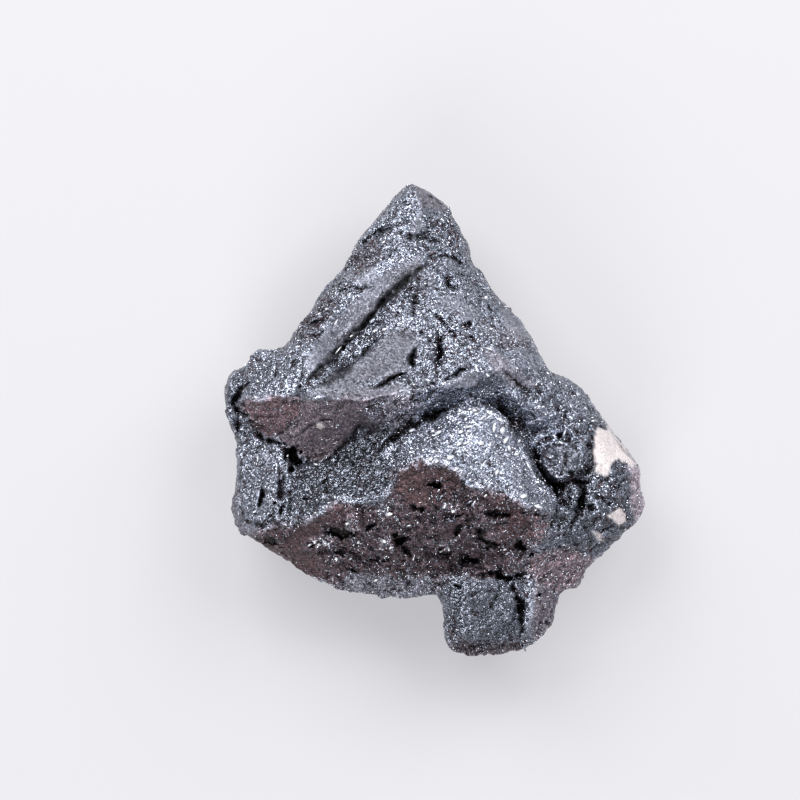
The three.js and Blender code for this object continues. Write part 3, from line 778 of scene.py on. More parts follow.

# Patches of the painted-light kind are painted light and shade: lighter on faces towards the lamps and painted
# glints on the broken face, darker on walls, undersides and slopes in shade, and in places some tone.
PATCHES: dict[str, Patch] = {
    "nose underside": Patch(Kind.BROWN, level=0.88, edge=0.4, fray=0.4, outline=(
        (-19.1, 1.8), (-18.5, 2.25), (-17.4, 1.85), (-16.4, 2.4), (-15.5, 2.5), (-14.3, 2.5),
        (-13.0, 1.9), (-13.1, 1.0), (-13.6, 0.1), (-15.2, -1.1), (-16.0, -1.7), (-16.9, -1.5),
        (-18.2, -0.6), (-18.6, 0.4), (-19.2, 1.0),
    )),
    "nose rim": Patch(Kind.SATIN, level=0.9, edge=0.15, fray=0.15, outline=(
        (-19.8, 1.4), (-19.6, 2.2), (-18.6, 2.7), (-18.2, 2.2), (-19.0, 1.8),
    )),
    "nose rim, light": Patch(Kind.GLOW, level=-0.45, edge=0.15, fray=0.15, outline=(
        (-19.8, 1.4), (-19.6, 2.2), (-18.6, 2.7), (-17.0, 2.2), (-18.2, 2.1), (-19.0, 1.8),
    )),
    "nose underside, light": Patch(Kind.GLOW, level=0.35, edge=0.4, fray=0.3, outline=(
        (-19.1, 2.0), (-16.4, 2.4), (-13.4, 2.3), (-13.4, 0.2), (-15.4, -1.2), (-16.9, -1.8),
        (-18.8, 0.2),
    )),
    "spear underside": Patch(Kind.BROWN, level=0.62, edge=0.3, outline=(
        (-13.0, 2.2), (-7.0, 1.9), (-7.0, -0.2), (-8.4, -1.6), (-11.0, -3.9), (-13.0, -3.9),
        (-14.6, -2.7), (-15.6, -1.6), (-14.6, -0.4), (-13.4, 0.6),
    )),
    "spear underside, light": Patch(Kind.GLOW, level=0.45, edge=0.4, outline=(
        (-7.0, 1.9), (-2.5, 2.8), (-0.5, 2.0), (-1.5, 0.6), (-4.5, 0.0), (-7.0, 0.2),
    )),
    "spear foot, left": Patch(Kind.GLOW, level=-0.9, edge=0.4, fray=0.6, outline=(
        (-9.6, -2.4), (-7.4, 0.0), (-4.2, 0.2), (-3.4, -1.2), (-5.6, -3.4), (-9.6, -3.9),
    )),
    "spear underside, right": Patch(Kind.BROWN, level=0.5, edge=0.8, fray=1.0, outline=(
        (-8.5, 2.1), (-2.5, 2.8), (-1.0, 1.2), (-3.5, -0.5), (-8.0, -0.8),
    )),
    "smooth underside": Patch(Kind.SATIN, level=0.8, edge=0.5, fray=0.6, outline=(
        (-19.3, 2.2), (-16.5, 2.7), (-7.0, 2.0), (-6.4, 0.2), (-8.4, -1.6), (-11.0, -3.9), (-13.0, -3.9),
        (-15.5, -2.2), (-17.0, -1.7), (-18.9, 0.2),
    )),
    "broken face": Patch(Kind.BROWN, level=0.8, edge=0.3, fray=0.7, outline=(
        (-18.9, -11.5), (-15.9, -10.6), (-13.5, -10.2), (-12.0, -9.8), (-11.0, -8.8), (-10.0, -8.0),
        (-9.0, -7.8), (-7.0, -8.3), (-5.0, -8.5), (-4.3, -7.0), (-4.5, -5.5), (-3.8, -4.9), (-1.5, -4.1),
        (0.5, -4.2), (2.3, -5.1), (3.0, -6.1), (4.0, -6.4), (5.5, -7.0), (7.0, -7.5), (8.5, -8.2),
        (9.3, -8.8), (11.0, -9.2), (11.3, -10.5), (11.0, -11.8), (9.5, -12.4), (9.0, -14.0), (9.4, -15.2),
        (8.0, -15.4), (1.0, -15.8), (-4.0, -15.4), (-8.6, -15.4), (-10.0, -17.5), (-15.0, -15.5),
        (-19.5, -13.0),
    )),
    "broken face, left": Patch(Kind.BROWN, level=0.95, edge=0.8, fray=0.8, outline=(
        (-18.9, -11.5), (-15.9, -10.6), (-13.5, -10.2), (-12.0, -9.8), (-10.0, -8.0), (-8.0, -8.2),
        (-8.6, -9.8), (-11.0, -11.0), (-12.8, -12.6), (-10.6, -14.6), (-10.0, -17.5), (-15.0, -15.5),
        (-19.5, -13.0),
    )),
    "broken face, brow": Patch(Kind.BROWN, level=0.95, edge=0.6, fray=0.8, outline=(
        (-4.4, -6.8), (-3.8, -4.9), (-1.5, -4.1), (0.5, -4.2), (2.3, -5.1), (3.0, -6.1), (1.6, -7.6),
        (-0.4, -9.2), (-3.2, -8.4),
    )),
    "broken face, right": Patch(Kind.BROWN, level=0.95, edge=0.6, fray=0.8, outline=(
        (3.4, -6.4), (5.5, -7.0), (8.5, -8.2), (11.0, -9.2), (11.3, -10.5), (9.5, -12.2), (6.6, -12.0),
        (5.2, -10.4), (5.6, -8.6),
    )),
    "broken face, smooth left": Patch(Kind.SATIN, level=0.8, outline=(
        (-18.4, -12.2), (-15.0, -11.8), (-12.5, -10.1), (-10.5, -8.4), (-8.5, -8.0), (-9.5, -9.6),
        (-12.0, -11.2), (-12.8, -13.0), (-9.0, -15.5), (-13.5, -14.6),
    )),
    "broken face, smooth middle": Patch(Kind.SATIN, level=0.7, outline=(
        (-4.3, -6.8), (-3.2, -5.0), (-1.0, -4.3), (1.5, -4.8), (2.8, -6.2), (1.0, -5.6), (-0.8, -5.8),
        (-0.7, -8.0), (0.2, -9.0), (-3.5, -7.8),
    )),
    "broken face, smooth right": Patch(Kind.SATIN, level=0.3, outline=(
        (5.2, -10.2), (8.0, -8.6), (11.0, -9.2), (11.2, -11.0), (9.0, -11.6), (6.5, -12.0), (5.0, -11.0),
    )),
    "lower slope": Patch(Kind.BROWN, level=0.75, edge=0.5, fray=0.7, outline=(
        (9.0, -13.2), (12.0, -12.8), (15.5, -13.0), (16.2, -14.0), (14.5, -16.6), (12.5, -17.6),
        (10.5, -16.5), (9.0, -15.2),
    )),
    "lower slope, smooth": Patch(Kind.SATIN, level=0.6, edge=0.5, fray=0.7, outline=(
        (9.0, -13.4), (12.0, -12.9), (15.5, -13.2), (16.2, -14.0), (14.5, -16.6), (12.5, -17.6),
        (10.5, -16.5), (9.0, -15.0),
    )),
    "foot lobe": Patch(Kind.SATIN, level=0.35, edge=0.4, fray=0.7, outline=(
        (9.3, -16.3), (12.3, -17.2), (12.8, -18.5), (11.8, -21.2), (9.6, -22.8), (9.0, -21.5),
    )),
    "foot lobe, warm": Patch(Kind.BROWN, level=0.5, edge=0.4, fray=0.7, outline=(
        (10.0, -16.3), (12.3, -17.2), (12.8, -18.5), (11.8, -21.2), (9.6, -22.8), (9.8, -20.0),
    )),
    "foot block, end": Patch(Kind.BROWN, level=0.6, edge=0.4, outline=(
        (1.6, -22.0), (5.0, -22.5), (8.8, -22.4), (9.0, -24.4), (1.6, -24.4),
    )),
    "tip plane": Patch(Kind.SATIN, level=0.8, edge=0.25, fray=0.3, outline=(
        (-1.9, 23.3), (-0.9, 24.0), (1.4, 21.8), (0.8, 20.9), (-1.0, 21.4), (-1.8, 20.5), (-2.3, 19.5),
        (-2.6, 18.2), (-1.6, 18.2), (-1.2, 19.4), (-1.4, 21.0),
    )),
    "tip plane, warm": Patch(Kind.BROWN, level=0.25, outline=(
        (-1.9, 23.3), (-0.9, 24.0), (1.4, 21.8), (0.8, 20.9), (-1.0, 21.4), (-1.8, 20.5),
    )),
    "band edge": Patch(Kind.SATIN, level=0.85, edge=0.25, fray=0.4, outline=(
        (-5.2, 14.6), (-1.4, 16.4), (-1.8, 15.7), (-4.5, 13.6), (-6.8, 11.0), (-9.4, 8.0), (-12.6, 4.6),
        (-13.2, 5.6), (-11.6, 8.2), (-9.2, 10.8), (-7.2, 12.6),
    )),
    "band plate": Patch(Kind.SATIN, level=0.7, outline=(
        (-8.8, 14.9), (-6.4, 15.4), (-5.4, 14.2), (-6.6, 13.4), (-8.2, 13.7),
    )),
    "plate": Patch(Kind.SATIN, level=0.9, edge=0.5, fray=0.6, outline=(
        (-10.6, 4.2), (-8.6, 5.2), (-7.2, 6.4), (-5.4, 8.4), (-3.2, 9.2), (-1.9, 8.8), (-1.6, 7.4),
        (-2.7, 6.4), (-2.9, 5.2), (-4.4, 4.6), (-6.0, 3.9), (-8.0, 4.0),
    )),
    "lower strip": Patch(Kind.SATIN, level=0.9, edge=0.2, fray=0.3, outline=(
        (-13.0, 2.4), (-12.0, 3.4), (-9.5, 4.2), (-6.4, 3.3), (-3.5, 3.7), (-1.5, 3.2), (-3.0, 2.8),
        (-6.0, 2.2), (-8.0, 1.9), (-11.0, 2.3),
    )),
    "ledge plate": Patch(Kind.SATIN, level=0.9, edge=0.2, fray=0.3, outline=(
        (0.6, 3.4), (1.6, 4.1), (3.6, 5.1), (4.3, 4.6), (3.8, 3.7), (2.0, 3.3),
    )),
    "right plate": Patch(Kind.SATIN, level=0.7, edge=0.4, fray=0.7, outline=(
        (0.2, 12.6), (2.6, 12.4), (4.2, 10.8), (3.4, 9.9), (1.6, 10.6), (-0.2, 11.2),
    )),
    "middle plate": Patch(Kind.SATIN, level=0.6, outline=(
        (-1.5, 14.8), (-0.4, 14.9), (-0.1, 13.2), (-1.3, 12.6),
    )),
    "right edge": Patch(Kind.SATIN, level=0.7, edge=0.4, fray=0.6, outline=(
        (6.6, 11.2), (9.0, 10.8), (10.2, 8.6), (8.4, 8.1), (6.8, 9.4),
    )),
    "right edge, warm": Patch(Kind.BROWN, level=0.3, edge=0.6, fray=0.8, outline=(
        (4.6, 10.0), (6.0, 9.4), (9.6, 8.4), (9.8, 7.4), (7.4, 7.2), (5.0, 8.6),
    )),
    "right foot of the spear": Patch(Kind.SATIN, level=0.6, edge=0.3, fray=0.6, outline=SPEAR_RIGHT_FOOT),
    "right foot of the spear, warm": Patch(Kind.BROWN, level=0.25, edge=0.3, fray=0.6, outline=SPEAR_RIGHT_FOOT),
    "block": Patch(Kind.SATIN, level=0.15, edge=0.5, fray=0.8, outline=(
        (-19.6, -2.8), (-16.4, -2.4), (-15.8, -4.5), (-15.9, -8.2), (-17.2, -10.2), (-19.2, -9.6),
    )),
    "block rim": Patch(Kind.SATIN, level=0.6, edge=0.3, outline=(
        (-20.6, -5.4), (-19.5, -6.0), (-19.0, -9.6), (-17.4, -10.8), (-18.4, -12.0), (-20.8, -9.8),
    )),
    "block rim, warm": Patch(Kind.BROWN, level=0.25, edge=0.3, outline=(
        (-20.6, -5.4), (-19.8, -6.0), (-19.4, -9.6), (-18.4, -11.2), (-18.8, -12.0), (-20.8, -9.8),
    )),
    "knob": Patch(Kind.SATIN, level=0.55, edge=0.3, fray=0.3, outline=(
        (10.5, -2.4), (12.8, -2.5), (14.1, -3.0), (13.8, -4.5), (12.2, -6.0), (11.1, -5.6),
    )),
    # painted light on the dome's top, painted shade on its lower band and right side
    "dome": Patch(Kind.GLOW, level=0.9, edge=0.25, fray=0.3, outline=(
        (-2.6, -0.9), (0.0, 0.4), (1.6, 1.0), (5.2, 1.3), (7.2, 0.1), (8.6, -2.4), (10.0, -5.6),
        (12.0, -7.2), (12.0, -9.0), (9.6, -8.8), (7.0, -7.3), (3.0, -6.0), (0.6, -4.0), (-2.0, -3.9),
        (-5.0, -4.6), (-5.0, -3.0),
    )),
    "dome, lower": Patch(Kind.GLOW, level=-0.5, edge=1.0, fray=0.6, outline=(
        (-3.4, -3.0), (1.0, -2.4), (4.4, -2.8), (6.4, -4.2), (8.6, -5.4), (12.2, -7.0), (12.2, -9.4),
        (9.4, -9.2), (3.0, -6.4), (0.6, -4.2), (-2.0, -4.1), (-4.8, -4.6),
    )),
    "dome, right": Patch(Kind.GLOW, level=-0.1, edge=0.6, fray=0.6, outline=(
        (5.6, 0.0), (7.6, -0.4), (9.0, -3.2), (10.2, -6.0), (8.4, -5.6), (6.6, -2.8),
    )),
    "hopper wall, smooth": Patch(Kind.SATIN, level=0.95, edge=0.12, fray=0.12, outline=HOPPER_WALL),
    "hopper wall, shade": Patch(Kind.GLOW, level=-1.5, edge=0.12, fray=0.1, outline=HOPPER_WALL),
    "plate, shade": Patch(Kind.GLOW, level=-0.7, edge=0.5, fray=0.6, outline=(
        (-11.2, 3.6), (-9.0, 5.4), (-7.2, 6.6), (-5.4, 8.6), (-3.2, 9.4), (-1.7, 8.9), (-1.3, 7.4),
        (-1.4, 4.9), (-2.4, 3.4), (-6.0, 2.3), (-11.0, 2.3),
    )),
    "plate, dark foot": Patch(Kind.GLOW, level=-1.6, edge=0.2, fray=0.2, outline=(
        (-12.2, 3.0), (-9.2, 4.4), (-7.6, 5.2), (-9.2, 5.4), (-11.6, 3.8),
    )),
    "hopper floor": Patch(Kind.GLOW, level=-0.15, edge=0.4, outline=(
        (-9.6, 6.6), (-6.4, 10.0), (-3.6, 12.4), (-1.0, 14.4), (-0.2, 12.0), (-4.4, 10.4), (-7.6, 7.2),
    )),
    "foot lobe, light": Patch(Kind.GLOW, level=0.05, edge=0.4, fray=0.6, outline=(
        (9.3, -15.6), (12.6, -17.0), (12.8, -18.5), (11.8, -21.2), (9.6, -22.8), (9.0, -21.5),
    )),
    "lower slope, light": Patch(Kind.GLOW, level=0.6, edge=0.4, fray=0.6, outline=(
        (9.0, -13.2), (12.0, -12.8), (15.5, -13.0), (16.6, -14.0), (14.5, -16.6), (12.5, -17.6),
        (10.5, -16.5), (9.0, -15.2),
    )),
    "right of the spear": Patch(Kind.GLOW, level=0.3, edge=0.6, fray=0.6, outline=(
        (4.0, 10.0), (9.4, 9.6), (10.4, 6.0), (10.6, 3.4), (7.6, 3.4), (4.4, 6.6),
    )),
    "lobe edge": Patch(Kind.SATIN, level=0.85, edge=0.2, fray=0.25, outline=LOBE_EDGE),
    "lobe edge, warm": Patch(Kind.BROWN, level=0.55, edge=0.3, fray=0.35, outline=LOBE_EDGE),
    "lobe edge, light": Patch(Kind.GLOW, level=1.7, edge=0.3, fray=0.35, outline=LOBE_EDGE),
    # painted glints on the broken face
    "broken sparkle, left": Patch(Kind.GLOW, level=1.6, edge=0.2, fray=0.4, outline=(
        (-12.6, -11.5), (-10.2, -11.4), (-10.0, -12.3), (-12.3, -12.5),
    )),
    "broken sparkle, over the hole": Patch(Kind.GLOW, level=1.4, edge=0.2, fray=0.4, outline=(
        (-5.6, -8.7), (-4.4, -8.6), (-4.2, -9.6), (-5.5, -9.8),
    )),
    "broken sparkle, middle": Patch(Kind.GLOW, level=1.4, edge=0.2, fray=0.4, outline=(
        (-5.6, -11.4), (-4.4, -11.4), (-4.2, -12.6), (-5.6, -12.6),
    )),
    "broken sparkle, foot": Patch(Kind.GLOW, level=1.5, edge=0.2, fray=0.4, outline=(
        (0.0, -12.0), (1.6, -12.0), (1.6, -13.2), (0.2, -13.2),
    )),
    "broken sparkle, brow": Patch(Kind.GLOW, level=1.5, edge=0.2, fray=0.4, outline=(
        (0.6, -8.0), (2.2, -8.0), (2.2, -9.1), (0.8, -9.1),
    )),
    "broken sparkle, slab": Patch(Kind.GLOW, level=1.2, edge=0.2, fray=0.4, outline=(
        (-9.0, -9.4), (-7.6, -9.4), (-7.6, -10.6), (-9.0, -10.6),
    )),
    "broken sparkle, low": Patch(Kind.GLOW, level=1.3, edge=0.2, fray=0.4, outline=(
        (-10.8, -13.4), (-9.4, -13.4), (-9.4, -14.3), (-10.8, -14.3),
    )),
    "broken band, light": Patch(Kind.GLOW, level=0.25, edge=0.4, outline=(
        (-9.4, -15.4), (-4.0, -15.0), (0.4, -15.4), (0.6, -17.2), (-4.0, -17.6), (-8.6, -17.2),
    )),
    "broken band, warm": Patch(Kind.BROWN, level=0.3, edge=0.6, fray=0.8, outline=(
        (-11.0, -15.0), (-4.0, -14.6), (0.8, -15.2), (1.0, -17.4), (-4.0, -17.8), (-8.6, -17.4),
    )),
    "broken face, light right": Patch(Kind.GLOW, level=0.4, edge=0.5, fray=0.6, outline=(
        (4.6, -8.8), (9.4, -8.4), (11.4, -9.4), (11.2, -11.8), (9.4, -12.4), (5.6, -11.6),
    )),
    "foot block, dark": Patch(Kind.GLOW, level=-0.7, edge=0.4, outline=(
        (1.0, -15.8), (9.0, -15.8), (9.0, -23.4), (2.0, -23.4),
    )),
    "tip, dark": Patch(Kind.GLOW, level=-0.25, edge=0.8, fray=0.6, outline=(
        (-7.0, 16.4), (-2.0, 24.4), (1.0, 24.4), (3.6, 16.0), (-1.0, 16.6),
    )),
    "broken face, dark": Patch(Kind.GLOW, level=-0.6, edge=0.5, fray=0.8, outline=(
        (-19.0, -11.6), (-13.0, -10.0), (-8.0, -7.8), (-4.6, -7.6), (-3.8, -4.9), (0.5, -4.2),
        (4.4, -6.4), (9.4, -9.0), (9.0, -13.0), (4.0, -15.0), (-8.0, -15.4), (-14.0, -15.0),
    )),
    "slab": Patch(Kind.GLOW, level=-0.85, edge=0.5, outline=(
        (-15.4, -4.6), (-13.0, -3.8), (-5.0, -3.0), (-4.6, -7.8), (-10.0, -7.8), (-13.5, -10.0),
        (-16.6, -11.0), (-15.8, -8.0),
    )),
    "left block": Patch(Kind.GLOW, level=-0.05, edge=0.4, fray=0.4, outline=(
        (-15.6, -3.0), (-15.4, -8.0), (-16.6, -11.0), (-18.8, -11.4), (-20.5, -8.0), (-19.8, -2.8),
    )),
    "face": Patch(Kind.GLOW, level=-0.1, edge=0.8, fray=0.6, outline=(
        (-0.6, 16.6), (3.4, 15.0), (7.0, 11.0), (9.6, 7.0), (4.0, 4.4), (-1.6, 3.6), (-1.2, 9.0),
    )),
    "face, low": Patch(Kind.GLOW, level=-0.25, edge=0.6, fray=0.6, outline=(
        (-2.2, 3.4), (4.0, 4.6), (4.0, 7.4), (-1.0, 7.8),
    )),
    "right of the dome": Patch(Kind.GLOW, level=0.15, edge=0.4, fray=0.4, outline=(
        (6.4, 1.2), (7.4, 3.2), (9.8, 0.8), (10.2, -2.6), (9.0, -2.8), (7.6, 0.2),
    )),
    "dark slope": Patch(Kind.GLOW, level=0.6, edge=0.6, fray=0.7, outline=(
        (1.5, 1.4), (3.2, 3.3), (6.0, 3.6), (8.6, 3.0), (10.8, 1.4), (12.6, -0.6), (12.4, -2.0),
        (10.0, -2.2), (8.6, -1.8), (7.2, 0.6), (5.4, 1.6),
    )),
    "under the spear": Patch(Kind.GLOW, level=0.1, edge=0.4, fray=0.6, outline=(
        (-8.0, -1.2), (-6.6, 0.2), (-2.0, 1.6), (3.0, 3.0), (1.4, 1.0), (-1.0, -0.2), (-3.4, -1.2),
        (-6.0, -3.4), (-10.8, -4.4),
    )),
    "right lobe": Patch(Kind.GLOW, level=-0.6, edge=0.6, fray=0.6, outline=(
        (12.4, -0.2), (15.4, 0.4), (17.0, 0.0), (20.6, -4.0), (21.2, -8.5), (19.0, -11.5), (16.4, -13.4),
        (12.4, -12.6), (11.8, -9.6), (12.6, -7.0), (13.2, -5.0),
    )),
    "lobe valley": Patch(Kind.GLOW, level=-0.5, edge=0.5, fray=0.8, outline=(
        (12.6, -5.6), (14.6, -6.0), (15.2, -8.0), (16.2, -9.6), (14.4, -11.0), (12.6, -11.0),
        (13.0, -8.0),
    )),
    "dark knob": Patch(Kind.GLOW, level=0.2, edge=0.3, fray=0.3, outline=(
        (10.1, -2.2), (12.8, -2.2), (14.1, -3.0), (13.8, -4.5), (12.2, -6.0), (11.1, -5.6),
    )),
    "left knob": Patch(Kind.GLOW, level=-0.6, edge=0.4, fray=0.4, outline=(
        (-21.5, 5.0), (-19.6, 5.2), (-18.4, 4.0), (-19.2, 2.0), (-18.6, 0.0), (-19.0, -2.4),
        (-21.5, -2.0),
    )),
    "broken knobs": Patch(Kind.KNOBBY, level=0.6, edge=0.5, outline=(
        (0.8, -6.2), (5.0, -7.4), (10.6, -9.4), (10.8, -11.8), (8.6, -14.4), (2.0, -15.0), (-2.0, -11.0),
    )),
    "foot lobe knobs": Patch(Kind.KNOBBY, level=0.5, edge=0.4, outline=(
        (9.4, -15.8), (12.6, -17.0), (12.8, -18.5), (11.8, -21.2), (9.6, -22.8), (9.3, -20.4),
    )),
    "lobe knobs": Patch(Kind.KNOBBY, edge=0.5, outline=(
        (11.0, 1.0), (15.6, 1.6), (21.6, -4.0), (21.6, -10.0), (16.4, -14.0), (12.0, -13.0), (11.8, -9.6),
        (12.6, -7.0), (13.6, -4.0),
    )),
    "band, dark": Patch(Kind.GLOW, level=-0.5, edge=0.5, fray=0.8, outline=BAND_TOP),
    "band, warm": Patch(Kind.BROWN, level=0.3, edge=0.5, fray=0.8, outline=BAND_TOP),
    "band, open": Patch(Kind.OPEN, edge=0.5, fray=0.8, outline=BAND_TOP),
    "band, dark foot": Patch(Kind.GLOW, level=-0.5, edge=0.5, fray=0.8, outline=BAND_FOOT),
    "band, warm foot": Patch(Kind.BROWN, level=0.3, edge=0.5, fray=0.8, outline=BAND_FOOT),
    "band, open foot": Patch(Kind.OPEN, edge=0.5, fray=0.8, outline=BAND_FOOT),
    "hopper top, dark": Patch(Kind.GLOW, level=-0.6, edge=0.4, fray=0.6, outline=(
        (-3.4, 13.6), (-1.0, 15.6), (-0.2, 14.6), (-1.4, 12.2), (-3.0, 12.0),
    )),
    "hopper top, open": Patch(Kind.OPEN, edge=0.4, fray=0.6, outline=(
        (-3.4, 13.6), (-0.6, 16.0), (0.2, 14.6), (-1.4, 12.2), (-3.0, 12.0),
    )),
    "tip, open": Patch(Kind.OPEN, level=0.9, edge=0.5, fray=0.8, outline=(
        (-1.2, 20.4), (1.2, 20.8), (2.6, 18.8), (1.8, 16.6), (-1.6, 16.8), (-2.0, 18.4),
    )),
    "face, open": Patch(Kind.OPEN, edge=0.6, fray=0.8, outline=(
        (-0.2, 11.0), (2.8, 9.6), (5.6, 7.6), (4.4, 5.8), (1.0, 6.8), (-1.0, 9.0),
    )),
    "crust": Patch(Kind.PALE, edge=0.15, fray=0.55, outline=(
        (16.0, -0.9), (16.7, -0.7), (17.2, -0.8), (17.2, -0.2), (16.4, 0.4), (17.4, 0.8), (18.8, -0.2),
        (20.6, -2.6), (20.2, -3.9), (19.7, -4.4), (18.9, -4.0), (17.9, -4.0), (17.4, -4.6), (17.1, -5.6),
        (16.4, -5.4), (15.7, -5.1), (15.9, -3.4), (15.9, -1.8),
    )),
    "crust, lower": Patch(Kind.PALE, edge=0.12, fray=0.3, outline=(
        (17.8, -9.0), (18.4, -8.5), (18.9, -9.0), (19.1, -10.0), (18.3, -10.4), (17.4, -9.8),
        (16.9, -9.4),
    )),
    "crust, small": Patch(Kind.PALE, level=0.75, edge=0.15, fray=0.1, outline=(
        (15.7, -11.0), (16.4, -11.1), (16.9, -12.0), (16.2, -11.9),
    )),
    "crust, fleck": Patch(Kind.PALE, level=0.9, edge=0.1, fray=0.05, outline=(
        (-11.7, -0.2), (-11.3, -0.15), (-11.0, -0.6), (-11.4, -0.9), (-11.8, -0.6),
    )),
}


@dataclass
class Ground:
    """What lies where on the cluster, and how its surface is grown there."""

    surface: Surface
    leaning: np.ndarray = field(init=False)
    ragged: np.ndarray = field(init=False)
    seen: np.ndarray = field(init=False)
    hollow: np.ndarray = field(init=False)
    shadow: np.ndarray = field(init=False)
    rim: np.ndarray = field(init=False)

    def __post_init__(self) -> None:
        """Finds which way each side faces, and how deep the marks are cut."""
        points = self.surface.points
        self.leaning = unit(self.surface.averaged(self.surface.normals(), rounds=14))
        self.ragged = SoftNoise(47).layered(points, 1.5, layers=3, gain=0.8)
        self.seen = smoothstep(-0.15, 0.2, self.leaning[:, 2] + 0.2 * SoftNoise(33).layered(points, 3.0))
        bent = points + 0.25 * np.stack([SoftNoise(91 + k).layered(points, 0.9, 2) for k in range(3)], axis=1)
        fine = SoftNoise(5).layered(points, 0.8, layers=2, gain=0.8)
        depths = {name: mark.depth_at(bent, fine) for name, mark in MARKS.items()}
        self.hollow = np.max(list(depths.values()), axis=0) * self.seen
        cracks = [depth for name, depth in depths.items() if not isinstance(MARKS[name], Wall)]
        self.shadow = np.max(cracks, axis=0) * self.seen
        self.rim = np.max([rim.depth_at(bent, fine) for rim in RIMS.values()], axis=0) * self.seen

    def cut_facets(self) -> None:
        """Moves the ground inside each facet's outline onto its plane."""
        for facet in FACETS.values():
            self.surface.points[:, 2] += facet.raise_at(self.surface.points, self.seen, self.ragged)

    def amount(self, kind: Kind) -> np.ndarray:
        """The highest of all patches of one kind at each point, or their sum for the painted light and tone.

        Args:
            kind: the kind of patch.

        Returns:
            One number for each point.
        """
        patches = [patch for patch in PATCHES.values() if patch.kind is kind]
        levels = np.array([patch.level_at(self.surface.points, self.ragged) for patch in patches])
        most = levels.sum(axis=0) if kind is Kind.GLOW else levels.max(axis=0)
        elsewhere = {Kind.BROWN: self.brown_sides, Kind.SATIN: self.satin_sides}
        if kind in elsewhere:
            return most * self.seen + elsewhere[kind]() * (1.0 - self.seen)
        return most * self.seen

    def brown_sides(self) -> np.ndarray:
        """Brown on the sides that face away from the tip and on the back, in patches.

        Returns:
            From 0 on steel grey to 1 on brown.
        """
        patches = SoftNoise(31).layered(self.surface.points, 3.0)
        away = np.maximum(-self.leaning[:, 1], 0.9 * -self.leaning[:, 2] - 0.1)
        return 0.8 * smoothstep(0.0, 0.6, away + 0.45 * patches)

    def satin_sides(self) -> np.ndarray:
        """Satin plates on the sides and back, in noise's patches."""
        return 0.8 * smoothstep(0.08, 0.25, SoftNoise(32).layered(self.surface.points, 4.0, layers=2))


